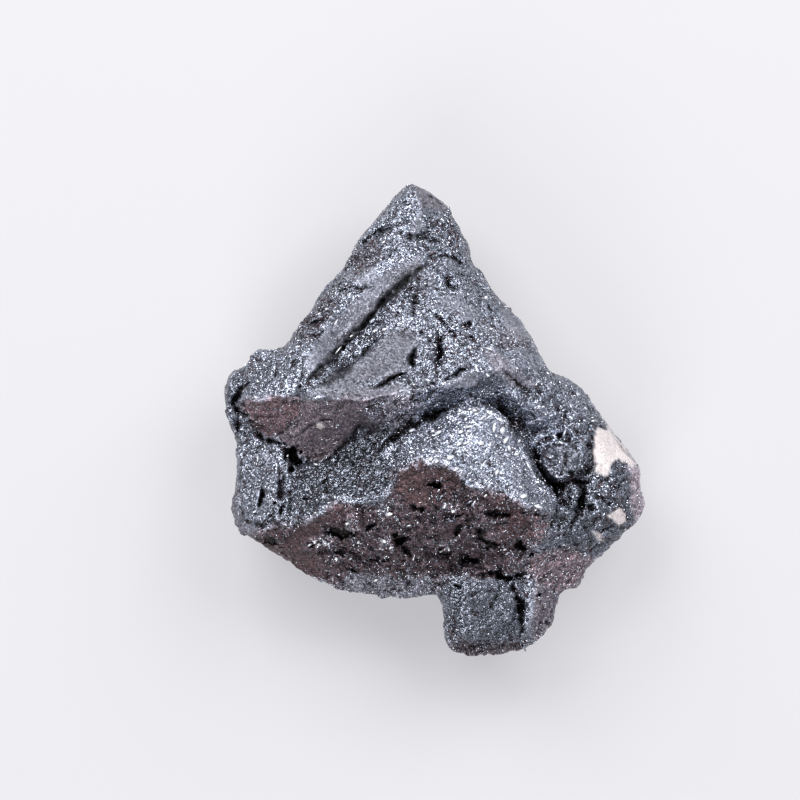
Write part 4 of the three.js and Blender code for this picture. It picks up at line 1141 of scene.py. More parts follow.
@dataclass
class HematiteCluster:
    """The whole cluster's crystal skin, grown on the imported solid."""

    voxel: float = 0.405
    settle_rounds: int = 2
    rest_margin: float = 1.4
    wave_height: float = 0.2
    knob_height: float = 0.4
    open_knob_height: float = 0.25
    crust_height: float = 0.08
    name: str = "hematite_skin"
    surface: Surface = field(init=False)
    amounts: dict[Kind, np.ndarray] = field(init=False)
    open: np.ndarray = field(init=False)
    seen: np.ndarray = field(init=False)
    hollow: np.ndarray = field(init=False)

    def build(self, node: bpy.types.Object) -> bpy.types.Object:
        """Remeshes the solid, grows the crystal relief on it and writes the finished mesh.

        Args:
            node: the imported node's object.

        Returns:
            The skin, which stands for the node.
        """
        self.surface = self.settled(Remesher(self.voxel).even_surface(node))
        ground = Ground(self.surface)
        ground.cut_facets()
        self.amounts = {kind: ground.amount(kind) for kind in Kind}
        self.seen = ground.seen
        # painted shade: how far the colour is darkened in cracks and pits; it also keeps crystals out of them
        self.hollow = smoothstep(0.15, 0.9, ground.shadow)
        base = self.surface.points
        self.open = self.openness(base)
        free = self.free(base)[:, None]
        out = self.surface.normals() * self.relief(base)[:, None] + self.shaking(base)
        raised = base + out * free
        raised[:, 2] += ground.rim - ground.hollow
        raised[:, 2] = np.maximum(raised[:, 2], 0.0)
        self.surface = Surface(raised, self.surface.triangles)
        skin = self.surface.to_object(self.name)
        for kind, values in self.amounts.items():
            self.write(skin, kind.value, values)
        # hollow, rim and crest carry painted shade in cracks and gaps and painted light on crests and rims
        self.write(skin, "hollow", self.hollow)
        self.write(skin, "rim", smoothstep(0.05, 0.2, ground.rim))
        self.write(skin, "crest", self.crest(0.1))
        LOG.info("%s: %d triangles", self.name, len(self.surface.triangles))
        return skin

    def settled(self, even: Surface) -> Surface:
        """Smooths the even mesh, then halves its edges on the upper side and smooths once more.

        Args:
            even: the remeshed solid.

        Returns:
            The smooth surface that the relief grows on.
        """
        even.points = even.averaged(even.points, self.settle_rounds, share=0.6)
        upper = (even.normals()[:, 2] > 0.1) & (even.points[:, 2] > 3.0)
        fine = even.refined(upper)
        fine.points = fine.averaged(fine.points, 1, share=0.5)
        return fine

    def free(self, points: np.ndarray) -> np.ndarray:
        """Zero on the resting face, rising to 1 above it, so that the face stays flat."""
        return smoothstep(0.05, self.rest_margin, points[:, 2])

    def crest(self, full: float) -> np.ndarray:
        """How far each point stands above the mean of the ground round it, over a full height.

        Args:
            full: the height that counts as 1, in millimetres.

        Returns:
            From -1 in a gap to 1 on a crest.
        """
        mean = self.surface.averaged(self.surface.points, rounds=7)
        above = np.sum((self.surface.points - mean) * self.surface.normals(), axis=1)
        return np.clip(above / full, -1.0, 1.0)

    def smooth(self) -> np.ndarray:
        """Where the ground is satin or crust, from 0 to 1."""
        return np.maximum(self.amounts[Kind.SATIN], self.amounts[Kind.PALE])

    def coarseness(self) -> np.ndarray:
        """How coarse the grains are: coarser on broken ground, finer where the ground is satin."""
        broken = 0.5 + 1.0 * self.amounts[Kind.BROWN] * smoothstep(0.4, 1.0, self.seen)
        return broken * (1.0 - 0.9 * self.smooth())

    def openness(self, points: np.ndarray) -> np.ndarray:
        """Where crystals stand apart with gaps between them: in noise's patches off smooth ground."""
        patches = smoothstep(0.0, 0.45, SoftNoise(35).layered(points, 2.2, layers=3, gain=0.7))
        patches = np.maximum(patches, np.maximum(0.8 * self.amounts[Kind.BROWN], self.amounts[Kind.OPEN]))
        return patches * (1.0 - self.smooth()) * smoothstep(0.3, 1.0, self.seen)

    def relief(self, points: np.ndarray) -> np.ndarray:
        """Waves, flat grain faces of three sizes and rounded knobs, in millimetres.

        Args:
            points: places on the settled surface.

        Returns:
            How far each point moves out along its normal.
        """
        coarse = self.coarseness()
        bent = points + 0.5 * np.stack([SoftNoise(61 + k).at(points, 1.7) for k in range(3)], axis=1)
        height = self.wave_height * SoftNoise(3).layered(points, 4.2)
        height += (0.08 + 0.7 * coarse) * CrystalGrains(11, 3.4).faces(bent, lean=0.14, step=0.08)
        height += coarse * CrystalGrains(12, 1.4).faces(bent, lean=0.2, step=0.08)
        height += coarse * CrystalGrains(13, 0.7).faces(bent, lean=0.2, step=0.04)
        height += self.open * self.open_knob_height * (CrystalGrains(16, 0.55).knobs(bent) - 0.75)
        knobby = self.amounts[Kind.KNOBBY] * (1.0 - self.amounts[Kind.PALE])
        height += knobby * self.knob_height * (CrystalGrains(14, 1.1).knobs(points) - 0.6)
        return height + self.crust_height * self.amounts[Kind.PALE]

    def shaking(self, points: np.ndarray) -> np.ndarray:
        """A small random move of every point, which tilts the smallest faces each their own way."""
        places = np.round(points * 997.0).astype(np.int64)
        lattice = Lattice(77)
        moves = np.stack([lattice.values(places, k) for k in range(3)], axis=1) * 2.0 - 1.0
        return moves * (0.004 + 0.035 * self.coarseness() + 0.03 * self.open)[:, None]

    @staticmethod
    def write(skin: bpy.types.Object, name: str, values: np.ndarray) -> None:
        """Stores one number at each point of the mesh, for the finish to read."""
        layer = skin.data.attributes.new(name, "FLOAT", "POINT")
        layer.data.foreach_set("value", values.astype(np.float32))


class Habit(Enum):
    """The shapes that small crystals grow in."""

    TABLET = "tablet"
    FLAKE = "flake"
    OCTAHEDRON = "octahedron"

    def corners(self) -> np.ndarray:
        """The crystal's corners, in its own length, width and thickness."""
        if self is Habit.OCTAHEDRON:
            return np.array([[1, 0, 0], [0, 1, 0], [-1, 0, 0], [0, -1, 0], [0, 0, 1], [0, 0, -1]], float)
        return np.array([[x, y, z] for z in (-1, 1) for x, y in OUTLINES[self]], float)

    def triangles(self) -> np.ndarray:
        """Corner numbers of the crystal's triangles, which all face outwards."""
        if self is Habit.OCTAHEDRON:
            top = [(k, (k + 1) % 4, 4) for k in range(4)]
            return np.array(top + [((k + 1) % 4, k, 5) for k in range(4)])
        count = len(OUTLINES[self])
        parts = [(0, k + 1, k) for k in range(1, count - 1)]
        parts += [(count, count + k, count + k + 1) for k in range(1, count - 1)]
        parts += [(k, (k + 1) % count, (k + 1) % count + count) for k in range(count)]
        parts += [(k, (k + 1) % count + count, k + count) for k in range(count)]
        return np.array(parts)


OUTLINES: dict[Habit, Path] = {
    Habit.TABLET: ((-1.0, 0.0), (-0.1, -1.0), (1.0, 0.0), (0.1, 1.0)),
    Habit.FLAKE: ((-1.0, -0.3), (-0.3, -1.0), (0.8, -0.7), (1.0, 0.2), (0.2, 1.0), (-0.8, 0.7)),
}


@dataclass
class Glitter:
    """Thousands of small crystals of one habit, half sunk in the skin."""

    name: str
    habit: Habit
    count: int
    length: float
    spread: float
    width: float
    thickness: float
    tilt: float
    rise: float
    seed: int
    stand_power: float = 0.4
    widest_draw: float = 2.0

    def build(self, cluster: HematiteCluster) -> bpy.types.Object:
        """Picks places by area and liking, then sets a crystal at each, all in whole arrays.

        Args:
            cluster: the finished cluster.

        Returns:
            The crystals as one joined mesh, whose faces have a painted glint, are plain, or are dull with
            painted shade.
        """
        random = np.random.default_rng(self.seed)
        centres, normals, shine, stand = self.places(cluster, random)
        draw = random.standard_normal(self.count).clip(-self.widest_draw, self.widest_draw)
        length = self.length * stand**self.stand_power * np.exp(self.spread * draw)
        sizes = length[:, None] * np.array([1.0, self.width, self.thickness]) * 0.5
        sizes[:, 1] *= random.uniform(0.7, 1.3, self.count)
        axes = self.axes(normals, random)
        local = self.habit.corners()[None] * sizes[:, None, :]
        local = np.einsum("nck,nkd->ncd", local, axes)
        highest = np.einsum("ncd,nd->nc", local, normals).max(axis=1)
        sink = highest - self.rise * stand * random.uniform(0.3, 1.0, self.count)
        points = centres[:, None, :] + local - (sink[:, None] * normals)[:, None, :]
        each = len(self.habit.corners())
        triangles = self.habit.triangles()[None] + each * np.arange(self.count)[:, None, None]
        points = points.reshape(-1, 3)
        points[:, 2] = np.maximum(points[:, 2], 0.0)
        surface = Surface(points, triangles.reshape(-1, 3))
        piece = surface.to_object(self.name)
        for finish in (Finish.DULL_AND_SHADED, Finish.PLAIN, Finish.PAINTED_GLINT):
            piece.data.materials.append(finish.material())
        # painted light: a high level gives a crystal a painted glint, a low one painted shade
        level = np.clip(shine + random.normal(0.0, 1.0, self.count), 0.0, 2.99).astype(np.int32)
        faces = np.repeat(level, len(self.habit.triangles()))
        piece.data.polygons.foreach_set("material_index", faces)
        LOG.info("%s: %d crystals, %d triangles", self.name, self.count, len(surface.triangles))
        return piece

    def places(self, cluster: HematiteCluster, random: np.random.Generator) -> tuple[np.ndarray, ...]:
        """Triangles drawn by area times how well the crystals like them, and a point in each.

        Args:
            cluster: the finished cluster.
            random: the run of random numbers.

        Returns:
            Places, their normals, the level of painted light on crystals there, from 0 for painted shade
            to 3 for a painted glint, and how far crystals stand out of the ground there, from 0.7 to 2.
        """
        surface = cluster.surface
        corners = surface.triangles
        amount = {kind: values[corners].mean(axis=1) for kind, values in cluster.amounts.items()}
        smooth = np.maximum(amount[Kind.SATIN], amount[Kind.PALE])
        liking = (1.0 - 0.7 * smooth) * (1.0 + 0.5 * amount[Kind.BROWN]) * (1.0 - amount[Kind.PALE])
        liking *= 1.0 - 0.9 * cluster.hollow[corners].mean(axis=1)
        across = surface.face_normals()
        upward = across[:, 2] / np.maximum(np.linalg.norm(across, axis=1), 1e-12)
        liking *= 0.35 + 0.65 * smoothstep(-0.05, 0.3, upward)
        # more crystals where patches paint light, fewer where they paint shade
        liking *= np.clip(1.0 + 0.5 * amount[Kind.GLOW], 0.1, None)
        liking *= surface.points[corners][:, :, 2].min(axis=1) > 0.5
        weight = np.linalg.norm(across, axis=1) * liking
        chosen = random.choice(len(corners), self.count, p=weight / weight.sum())
        share = random.dirichlet((1.0, 1.0, 1.0), self.count)
        centres = np.einsum("nk,nkd->nd", share, surface.points[corners[chosen]])
        normals = unit(surface.normals()[corners[chosen]].mean(axis=1))
        # painted light: patches that paint light raise the level, brown ground lowers it
        shine = 1.5 + 0.8 * amount[Kind.GLOW][chosen] - 0.4 * amount[Kind.BROWN][chosen]
        stand = 0.7 + 1.3 * cluster.open[corners[chosen]].mean(axis=1)
        return centres, normals, shine, stand

    def axes(self, normals: np.ndarray, random: np.random.Generator) -> np.ndarray:
        """Three axes for each crystal: its normal leant at random, and two across it.

        Args:
            normals: the ground's normals.
            random: the run of random numbers.

        Returns:
            Length, width and thickness axes, one set for each crystal.
        """
        up = unit(normals + self.tilt * random.standard_normal(normals.shape))
        side = unit(np.cross(up, random.standard_normal(normals.shape)))
        return np.stack([side, np.cross(up, side), up], axis=1)


@dataclass(frozen=True)
class Flake:
    """One large flake: its place as seen from above, its length and width, and its turn in degrees."""

    centre: tuple[float, float]
    length: float
    width: float
    turn: float = 0.0


FLAKES: tuple[Flake, ...] = (
    Flake(centre=(6.55, -0.9), length=0.75, width=0.6, turn=80.0),
    Flake(centre=(6.9, -1.9), length=0.9, width=0.45, turn=60.0),
    Flake(centre=(5.7, -0.7), length=1.1, width=0.3, turn=75.0),
    Flake(centre=(5.2, 0.4), length=0.9, width=0.18, turn=50.0),
    Flake(centre=(4.6, 0.3), length=1.0, width=0.18, turn=45.0),
    Flake(centre=(3.3, -0.6), length=0.8, width=0.25, turn=15.0),
    Flake(centre=(2.5, -1.1), length=0.5, width=0.4, turn=20.0),
    Flake(centre=(0.3, -1.2), length=0.7, width=0.4, turn=30.0),
    Flake(centre=(4.4, -2.2), length=0.7, width=0.35, turn=-10.0),
    Flake(centre=(2.3, -2.3), length=0.6, width=0.3, turn=35.0),
    Flake(centre=(3.1, -2.1), length=0.8, width=0.2, turn=20.0),
    Flake(centre=(1.4, -3.6), length=0.8, width=0.55, turn=30.0),
    Flake(centre=(-0.5, -3.7), length=0.6, width=0.4, turn=60.0),
    Flake(centre=(0.2, -3.9), length=0.45, width=0.35, turn=20.0),
    Flake(centre=(-2.3, -1.0), length=0.6, width=0.4, turn=35.0),
    Flake(centre=(7.2, -2.7), length=0.6, width=0.35, turn=100.0),
    Flake(centre=(8.2, -2.0), length=0.4, width=0.25, turn=60.0),
    Flake(centre=(9.1, -4.4), length=1.0, width=0.2, turn=-72.0),
    Flake(centre=(7.9, -3.3), length=0.5, width=0.35, turn=20.0),
    Flake(centre=(6.0, -5.0), length=0.6, width=0.4, turn=70.0),
    Flake(centre=(4.7, -4.2), length=0.9, width=0.15, turn=60.0),
    Flake(centre=(2.0, -4.7), length=0.7, width=0.25, turn=30.0),
    Flake(centre=(8.6, -7.4), length=0.7, width=0.5, turn=10.0),
    Flake(centre=(10.1, -8.4), length=1.0, width=0.3, turn=-10.0),
    Flake(centre=(-13.6, 7.3), length=0.45, width=0.2, turn=-5.0),
    Flake(centre=(-18.8, 5.6), length=0.4, width=0.25, turn=70.0),
    Flake(centre=(-17.7, 2.4), length=0.4, width=0.25, turn=-20.0),
    Flake(centre=(-9.7, 7.1), length=1.0, width=0.15, turn=48.0),
    Flake(centre=(-9.9, 9.8), length=0.8, width=0.18, turn=60.0),
    Flake(centre=(-8.4, 8.5), length=0.4, width=0.2, turn=40.0),
    Flake(centre=(-5.0, 9.1), length=0.45, width=0.3, turn=10.0),
    Flake(centre=(-5.9, 8.9), length=0.6, width=0.2, turn=20.0),
    Flake(centre=(5.3, 7.1), length=0.8, width=0.15, turn=-17.0),
    Flake(centre=(4.0, 5.2), length=0.5, width=0.25, turn=-60.0),
    Flake(centre=(5.0, 12.2), length=0.4, width=0.35, turn=30.0),
    Flake(centre=(-0.1, 7.5), length=0.5, width=0.15, turn=-50.0),
    Flake(centre=(12.9, -1.2), length=0.45, width=0.2, turn=70.0),
    Flake(centre=(-16.9, -2.6), length=0.4, width=0.15, turn=-60.0),
    Flake(centre=(-17.6, -3.8), length=0.7, width=0.15, turn=88.0),
    Flake(centre=(-14.8, -3.5), length=0.3, width=0.2, turn=60.0),
    Flake(centre=(-11.8, -4.4), length=0.5, width=0.2, turn=-10.0),
    Flake(centre=(10.1, -2.0), length=0.4, width=0.12, turn=5.0),
    Flake(centre=(-12.5, -12.2), length=0.5, width=0.25, turn=30.0),
    Flake(centre=(-12.0, -11.9), length=0.45, width=0.35, turn=80.0),
    Flake(centre=(-11.5, -12.3), length=0.4, width=0.3, turn=10.0),
    Flake(centre=(-11.0, -11.9), length=0.5, width=0.3, turn=120.0),
    Flake(centre=(-10.6, -12.2), length=0.35, width=0.25, turn=50.0),
    Flake(centre=(-8.7, -10.0), length=0.4, width=0.3, turn=20.0),
    Flake(centre=(-7.6, -11.9), length=0.35, width=0.3, turn=70.0),
    Flake(centre=(-4.6, -9.1), length=0.75, width=0.45, turn=10.0),
    Flake(centre=(-5.0, -11.8), length=0.6, width=0.4, turn=150.0),
    Flake(centre=(-4.4, -12.5), length=0.4, width=0.25, turn=40.0),
    Flake(centre=(0.7, -12.9), length=0.4, width=0.3, turn=30.0),
    Flake(centre=(1.4, -12.6), length=0.6, width=0.35, turn=100.0),
    Flake(centre=(1.0, -8.2), length=0.45, width=0.3, turn=60.0),
    Flake(centre=(1.7, -8.8), length=0.4, width=0.35, turn=0.0),
    Flake(centre=(-5.9, -15.8), length=0.5, width=0.3, turn=20.0),
    Flake(centre=(5.0, -7.3), length=0.4, width=0.2, turn=45.0),
    Flake(centre=(6.9, -12.7), length=0.4, width=0.25, turn=10.0),
    Flake(centre=(-2.2, -13.6), length=0.35, width=0.2, turn=80.0),
    Flake(centre=(-9.8, -13.6), length=0.35, width=0.2, turn=130.0),
)


@dataclass
class BrightFlakes:
    """The largest flakes, which face the light and so shine white."""

    name: str = "bright_flakes"
    thickness: float = 0.1
    stand: float = 0.12
    reach: float = 0.25
    tilt: float = 0.2
    seed: int = 104
    light: tuple[float, float, float] = (0.0, 0.36, 0.93)

    def build(self, cluster: HematiteCluster) -> bpy.types.Object:
        """Lays each flake on the ground under its place, turned and leant towards the light.

        Args:
            cluster: the finished cluster.

        Returns:
            The flakes as one joined mesh.
        """
        centres, normals = self.ground(cluster.surface)
        turns = np.radians([flake.turn for flake in FLAKES])
        along = np.stack([np.cos(turns), np.sin(turns), np.zeros(len(turns))], axis=1)
        random = np.random.default_rng(self.seed)
        up = unit(0.3 * normals + np.array(self.light) + self.tilt * random.standard_normal(normals.shape))
        side = unit(np.cross(up, along))
        axes = np.stack([np.cross(side, up), side, up], axis=1)
        sizes = np.array([(flake.length, 0.8 * flake.width, self.thickness) for flake in FLAKES]) * 0.5
        local = np.einsum("nck,nkd->ncd", Habit.FLAKE.corners()[None] * sizes[:, None, :], axes)
        points = centres[:, None, :] + local + self.stand * normals[:, None, :]
        each = len(Habit.FLAKE.corners())
        triangles = Habit.FLAKE.triangles()[None] + each * np.arange(len(FLAKES))[:, None, None]
        piece = Surface(points.reshape(-1, 3), triangles.reshape(-1, 3)).to_object(self.name)
        piece.data.materials.append(Finish.FLAKE.material())
        return piece

    def ground(self, surface: Surface) -> tuple[np.ndarray, np.ndarray]:
        """The highest point of the skin within reach of each flake's place.

        Args:
            surface: the cluster's finished surface.

        Returns:
            Points of the ground and its normals, one for each flake.
        """
        places = np.array([flake.centre for flake in FLAKES])
        gaps = np.linalg.norm(surface.points[None, :, :2] - places[:, None, :], axis=2)
        heights = np.where(gaps < self.reach, surface.points[None, :, 2], -1.0)
        highest = heights.argmax(axis=1)
        centres = np.concatenate([places, surface.points[highest, 2:]], axis=1)
        return centres, surface.normals()[highest]


@dataclass(frozen=True)
class Tone:
    """A colour with its gloss."""

    colour: tuple[float, float, float]
    roughness: float
    metallic: float


@dataclass(frozen=True)
class SkinTones:
    """The skin's steel, satin, brown and crust tones, its facets, and the shade and light painted from its
    relief: darker gaps and hollows, lighter crests and rims.
    """

    steel_dark: Tone = Tone((0.045, 0.05, 0.066), 0.26, 0.85)
    steel_light: Tone = Tone((0.36, 0.39, 0.47), 0.26, 0.85)
    satin_dark: Tone = Tone((0.10, 0.102, 0.127), 0.45, 0.5)
    satin_light: Tone = Tone((0.28, 0.28, 0.335), 0.45, 0.5)
    brown_dark: Tone = Tone((0.015, 0.008, 0.01), 0.5, 0.2)
    brown_light: Tone = Tone((0.187, 0.1, 0.108), 0.5, 0.2)
    # painted shade: the colour put into the gaps between grains
    gap: Tone = Tone((0.02, 0.014, 0.016), 0.5, 0.3)
    crust_dark: Tone = Tone((0.48, 0.42, 0.42), 0.9, 0.0)
    crust_light: Tone = Tone((0.66, 0.63, 0.635), 0.9, 0.0)
    facet_size: float = 0.15
    steel_lean: float = 0.9
    smooth_lean: float = 0.7
    # painted light and shade, in stops: lighter on crests and darker in gaps, lighter on rims; and the share of
    # colour left in hollows, which is painted shade
    crest_light_and_shade_stops: float = 0.5
    rim_highlight_stops: float = 0.8
    hollow_shade_share: float = 0.2
    specular: float = 0.3


class ShaderPen:
    """Short ways to write a material's nodes."""

    def __init__(self, tree: bpy.types.NodeTree) -> None:
        """Keeps the tree that is written to.

        Args:
            tree: a material's or a group's node tree.
        """
        self.tree = tree

    def node(self, kind: str, **settings: object) -> bpy.types.Node:
        """A new node with these settings."""
        made = self.tree.nodes.new(kind)
        for key, value in settings.items():
            setattr(made, key, value)
        return made

    def join(self, source: Socket, target: Socket) -> None:
        """A link from one socket to another."""
        self.tree.links.new(source, target)

    def feed(self, socket: Socket, value: object) -> None:
        """Sets a socket to a number or colour, or links it if a socket is given."""
        if isinstance(value, Socket):
            self.join(value, socket)
        else:
            socket.default_value = value

    def maths(self, operation: str, *values: object) -> Socket:
        """One sum of up to three values."""
        made = self.node("ShaderNodeMath", operation=operation)
        for socket, value in zip(made.inputs, values):
            self.feed(socket, value)
        return made.outputs[0]

    def vectors(self, operation: str, *values: object) -> Socket:
        """One sum of one or two vectors."""
        made = self.node("ShaderNodeVectorMath", operation=operation)
        for socket, value in zip(made.inputs, values):
            self.feed(socket, value)
        return made.outputs[0]

    def scaled(self, vector: object, scale: object) -> Socket:
        """A vector or colour times a number."""
        made = self.node("ShaderNodeVectorMath", operation="SCALE")
        self.feed(made.inputs[0], vector)
        self.feed(made.inputs["Scale"], scale)
        return made.outputs[0]

    def blend(self, share: object, first: object, second: object) -> Socket:
        """A colour between two, by share."""
        made = self.node("ShaderNodeMix", data_type="RGBA")
        self.feed(made.inputs[0], share)
        self.feed(made.inputs[6], first)
        self.feed(made.inputs[7], second)
        return made.outputs[2]

    def between(self, share: object, first: object, second: object) -> Socket:
        """A number between two, by share."""
        made = self.node("ShaderNodeMix", data_type="FLOAT")
        self.feed(made.inputs[0], share)
        self.feed(made.inputs[2], first)
        self.feed(made.inputs[3], second)
        return made.outputs[0]

    def ramp(self, value: object, low: float, high: float) -> Socket:
        """A smooth rise from 0 at low to 1 at high."""
        made = self.node("ShaderNodeMapRange", interpolation_type="SMOOTHSTEP")
        self.feed(made.inputs["Value"], value)
        made.inputs["From Min"].default_value = low
        made.inputs["From Max"].default_value = high
        return made.outputs["Result"]

    def attribute(self, name: str) -> Socket:
        """A value that the piece's own mesh carries."""
        return self.node("ShaderNodeAttribute", attribute_name=name).outputs["Fac"]


def rgba(colour: tuple[float, float, float]) -> tuple[float, float, float, float]:
    """The colour with full cover."""
    return (*colour, 1.0)


class CrystalFacets:
    """A node group of tiny flat crystals: each has its own lean and its own shade."""

    NAME = "crystal_facets"
    FINER = 2.3
    FINE_SHARE = 0.6
    MIDDLE = (0.8, 0.8, 0.8)
    DARKEST = 0.4
    LIGHTEST = 1.3

    @classmethod
    def tree(cls) -> bpy.types.NodeTree:
        """The group, made on first use.

        Returns:
            The node group, with inputs Size in millimetres and Lean, and outputs Normal and Shade.
        """
        if cls.NAME in bpy.data.node_groups:
            return bpy.data.node_groups[cls.NAME]
        tree = bpy.data.node_groups.new(cls.NAME, "ShaderNodeTree")
        for name in ("Size", "Lean"):
            tree.interface.new_socket(name, in_out="INPUT", socket_type="NodeSocketFloat")
        tree.interface.new_socket("Normal", in_out="OUTPUT", socket_type="NodeSocketVector")
        tree.interface.new_socket("Shade", in_out="OUTPUT", socket_type="NodeSocketFloat")
        pen = ShaderPen(tree)
        entry, leave = pen.node("NodeGroupInput"), pen.node("NodeGroupOutput")
        place = pen.node("ShaderNodeTexCoord").outputs["Object"]
        scale = pen.maths("DIVIDE", 1.0 / MM, entry.outputs["Size"])
        coarse = cls.cells(pen, place, scale)
        fine = cls.cells(pen, place, pen.maths("MULTIPLY", scale, cls.FINER))
        both = pen.vectors("ADD", coarse, pen.scaled(fine, cls.FINE_SHARE))
        middle = pen.vectors("SUBTRACT", both, cls.MIDDLE)
        lean = pen.scaled(middle, entry.outputs["Lean"])
        normal = pen.vectors("ADD", pen.node("ShaderNodeNewGeometry").outputs["Normal"], lean)
        pen.join(pen.vectors("NORMALIZE", normal), leave.inputs["Normal"])
        parts = pen.node("ShaderNodeSeparateXYZ")
        pen.join(both, parts.inputs[0])
        pen.join(pen.ramp(parts.outputs[0], cls.DARKEST, cls.LIGHTEST), leave.inputs["Shade"])
        return tree

    @staticmethod
    def cells(pen: ShaderPen, place: Socket, scale: Socket) -> Socket:
        """The random colour of each cell of a cell texture."""
        cells = pen.node("ShaderNodeTexVoronoi")
        pen.join(place, cells.inputs["Vector"])
        pen.join(scale, cells.inputs["Scale"])
        return cells.outputs["Color"]


class Finish(Enum):
    """The finishes of the specimen: its skin, three for the small crystals, dull with painted shade, plain, and
    with a painted glint, and one for large flakes.
    """

    SKIN = "hematite_skin_finish"
    DULL_AND_SHADED = "hematite_dull_shaded_crystals"
    PLAIN = "hematite_plain_crystals"
    PAINTED_GLINT = "hematite_painted_glint_crystals"
    FLAKE = "hematite_bright_flakes"

    def material(self) -> bpy.types.Material:
        """The finish's material, made on first use."""
        if self.value in bpy.data.materials:
            return bpy.data.materials[self.value]
        material = bpy.data.materials.new(self.value)
        material.use_nodes = True
        material.node_tree.nodes.clear()
        pen = ShaderPen(material.node_tree)
        shader = pen.node("ShaderNodeBsdfPrincipled")
        pen.join(shader.outputs[0], pen.node("ShaderNodeOutputMaterial").inputs["Surface"])
        if self is Finish.SKIN:
            paint_skin(pen, shader)
        else:
            paint_plain(shader, CRYSTAL_TONES[self])
        return material


# lit and shaded copies of one crystal tone: dull crystals carry painted shade on a brownish tone, bright ones a
# painted glint
CRYSTAL_TONES: dict[Finish, Tone] = {
    Finish.DULL_AND_SHADED: Tone((0.065, 0.04, 0.048), 0.32, 0.6),
    Finish.PLAIN: Tone((0.24, 0.257, 0.31), 0.22, 1.0),
    Finish.PAINTED_GLINT: Tone((0.68, 0.71, 0.79), 0.16, 1.0),
    Finish.FLAKE: Tone((0.8, 0.815, 0.85), 0.33, 0.5),
}


def paint_plain(shader: bpy.types.Node, tone: Tone) -> None:
    """One tone all over.

    Args:
        shader: the material's Principled shader.
        tone: its tone.
    """
    shader.inputs["Base Color"].default_value = rgba(tone.colour)
    shader.inputs["Roughness"].default_value = tone.roughness
    shader.inputs["Metallic"].default_value = tone.metallic


def paint_skin(pen: ShaderPen, shader: bpy.types.Node) -> None:
    """Steel, satin, brown and crust tones, each from dark to light, blended by the mesh's own values; painted
    shade darkens gaps and hollows, and painted light and shade from the patches, crests and rims change it by
    stops.

    Args:
        pen: writes to the material.
        shader: its Principled shader.
    """
    tones = SkinTones()
    amount = {kind: pen.attribute(kind.value) for kind in Kind}
    facets = pen.node("ShaderNodeGroup", node_tree=CrystalFacets.tree())
    smooth = pen.maths("MAXIMUM", amount[Kind.SATIN], amount[Kind.PALE])
    facets.inputs["Size"].default_value = tones.facet_size
    pen.join(pen.between(smooth, tones.steel_lean, tones.smooth_lean), facets.inputs["Lean"])
    shade = facets.outputs["Shade"]
    colour = pen.blend(shade, rgba(tones.steel_dark.colour), rgba(tones.steel_light.colour))
    satin = pen.blend(shade, rgba(tones.satin_dark.colour), rgba(tones.satin_light.colour))
    brown = pen.blend(shade, rgba(tones.brown_dark.colour), rgba(tones.brown_light.colour))
    crust = pen.blend(shade, rgba(tones.crust_dark.colour), rgba(tones.crust_light.colour))
    colour = pen.blend(amount[Kind.SATIN], colour, satin)
    colour = pen.blend(amount[Kind.BROWN], colour, brown)
    # painted shade in the gaps between grains; then painted light and shade by stops from the patches, crests
    # and rims
    crest = pen.attribute("crest")
    colour = pen.blend(pen.ramp(crest, -0.2, -1.1), colour, rgba(tones.gap.colour))
    lift = pen.maths("ADD", amount[Kind.GLOW], pen.maths("MULTIPLY", crest, tones.crest_light_and_shade_stops))
    lift = pen.maths("ADD", lift, pen.maths("MULTIPLY", pen.attribute("rim"), tones.rim_highlight_stops))
    colour = pen.scaled(colour, pen.maths("POWER", 2.0, lift))
    colour = pen.blend(amount[Kind.PALE], colour, crust)
    # painted shade in cracks and pits
    painted_hollow_shade = pen.between(pen.attribute("hollow"), 1.0, tones.hollow_shade_share)
    pen.join(pen.scaled(colour, painted_hollow_shade), shader.inputs["Base Color"])
    darks = (tones.steel_dark, tones.satin_dark, tones.brown_dark, tones.crust_dark)
    for socket, value in (("Roughness", "roughness"), ("Metallic", "metallic")):
        of_steel, of_satin, of_brown, of_crust = (getattr(tone, value) for tone in darks)
        mixed = pen.between(amount[Kind.SATIN], of_steel, of_satin)
        mixed = pen.between(amount[Kind.BROWN], mixed, of_brown)
        pen.join(pen.between(amount[Kind.PALE], mixed, of_crust), shader.inputs[socket])
    pen.join(facets.outputs["Normal"], shader.inputs["Normal"])
    shader.inputs["Specular IOR Level"].default_value = tones.specular


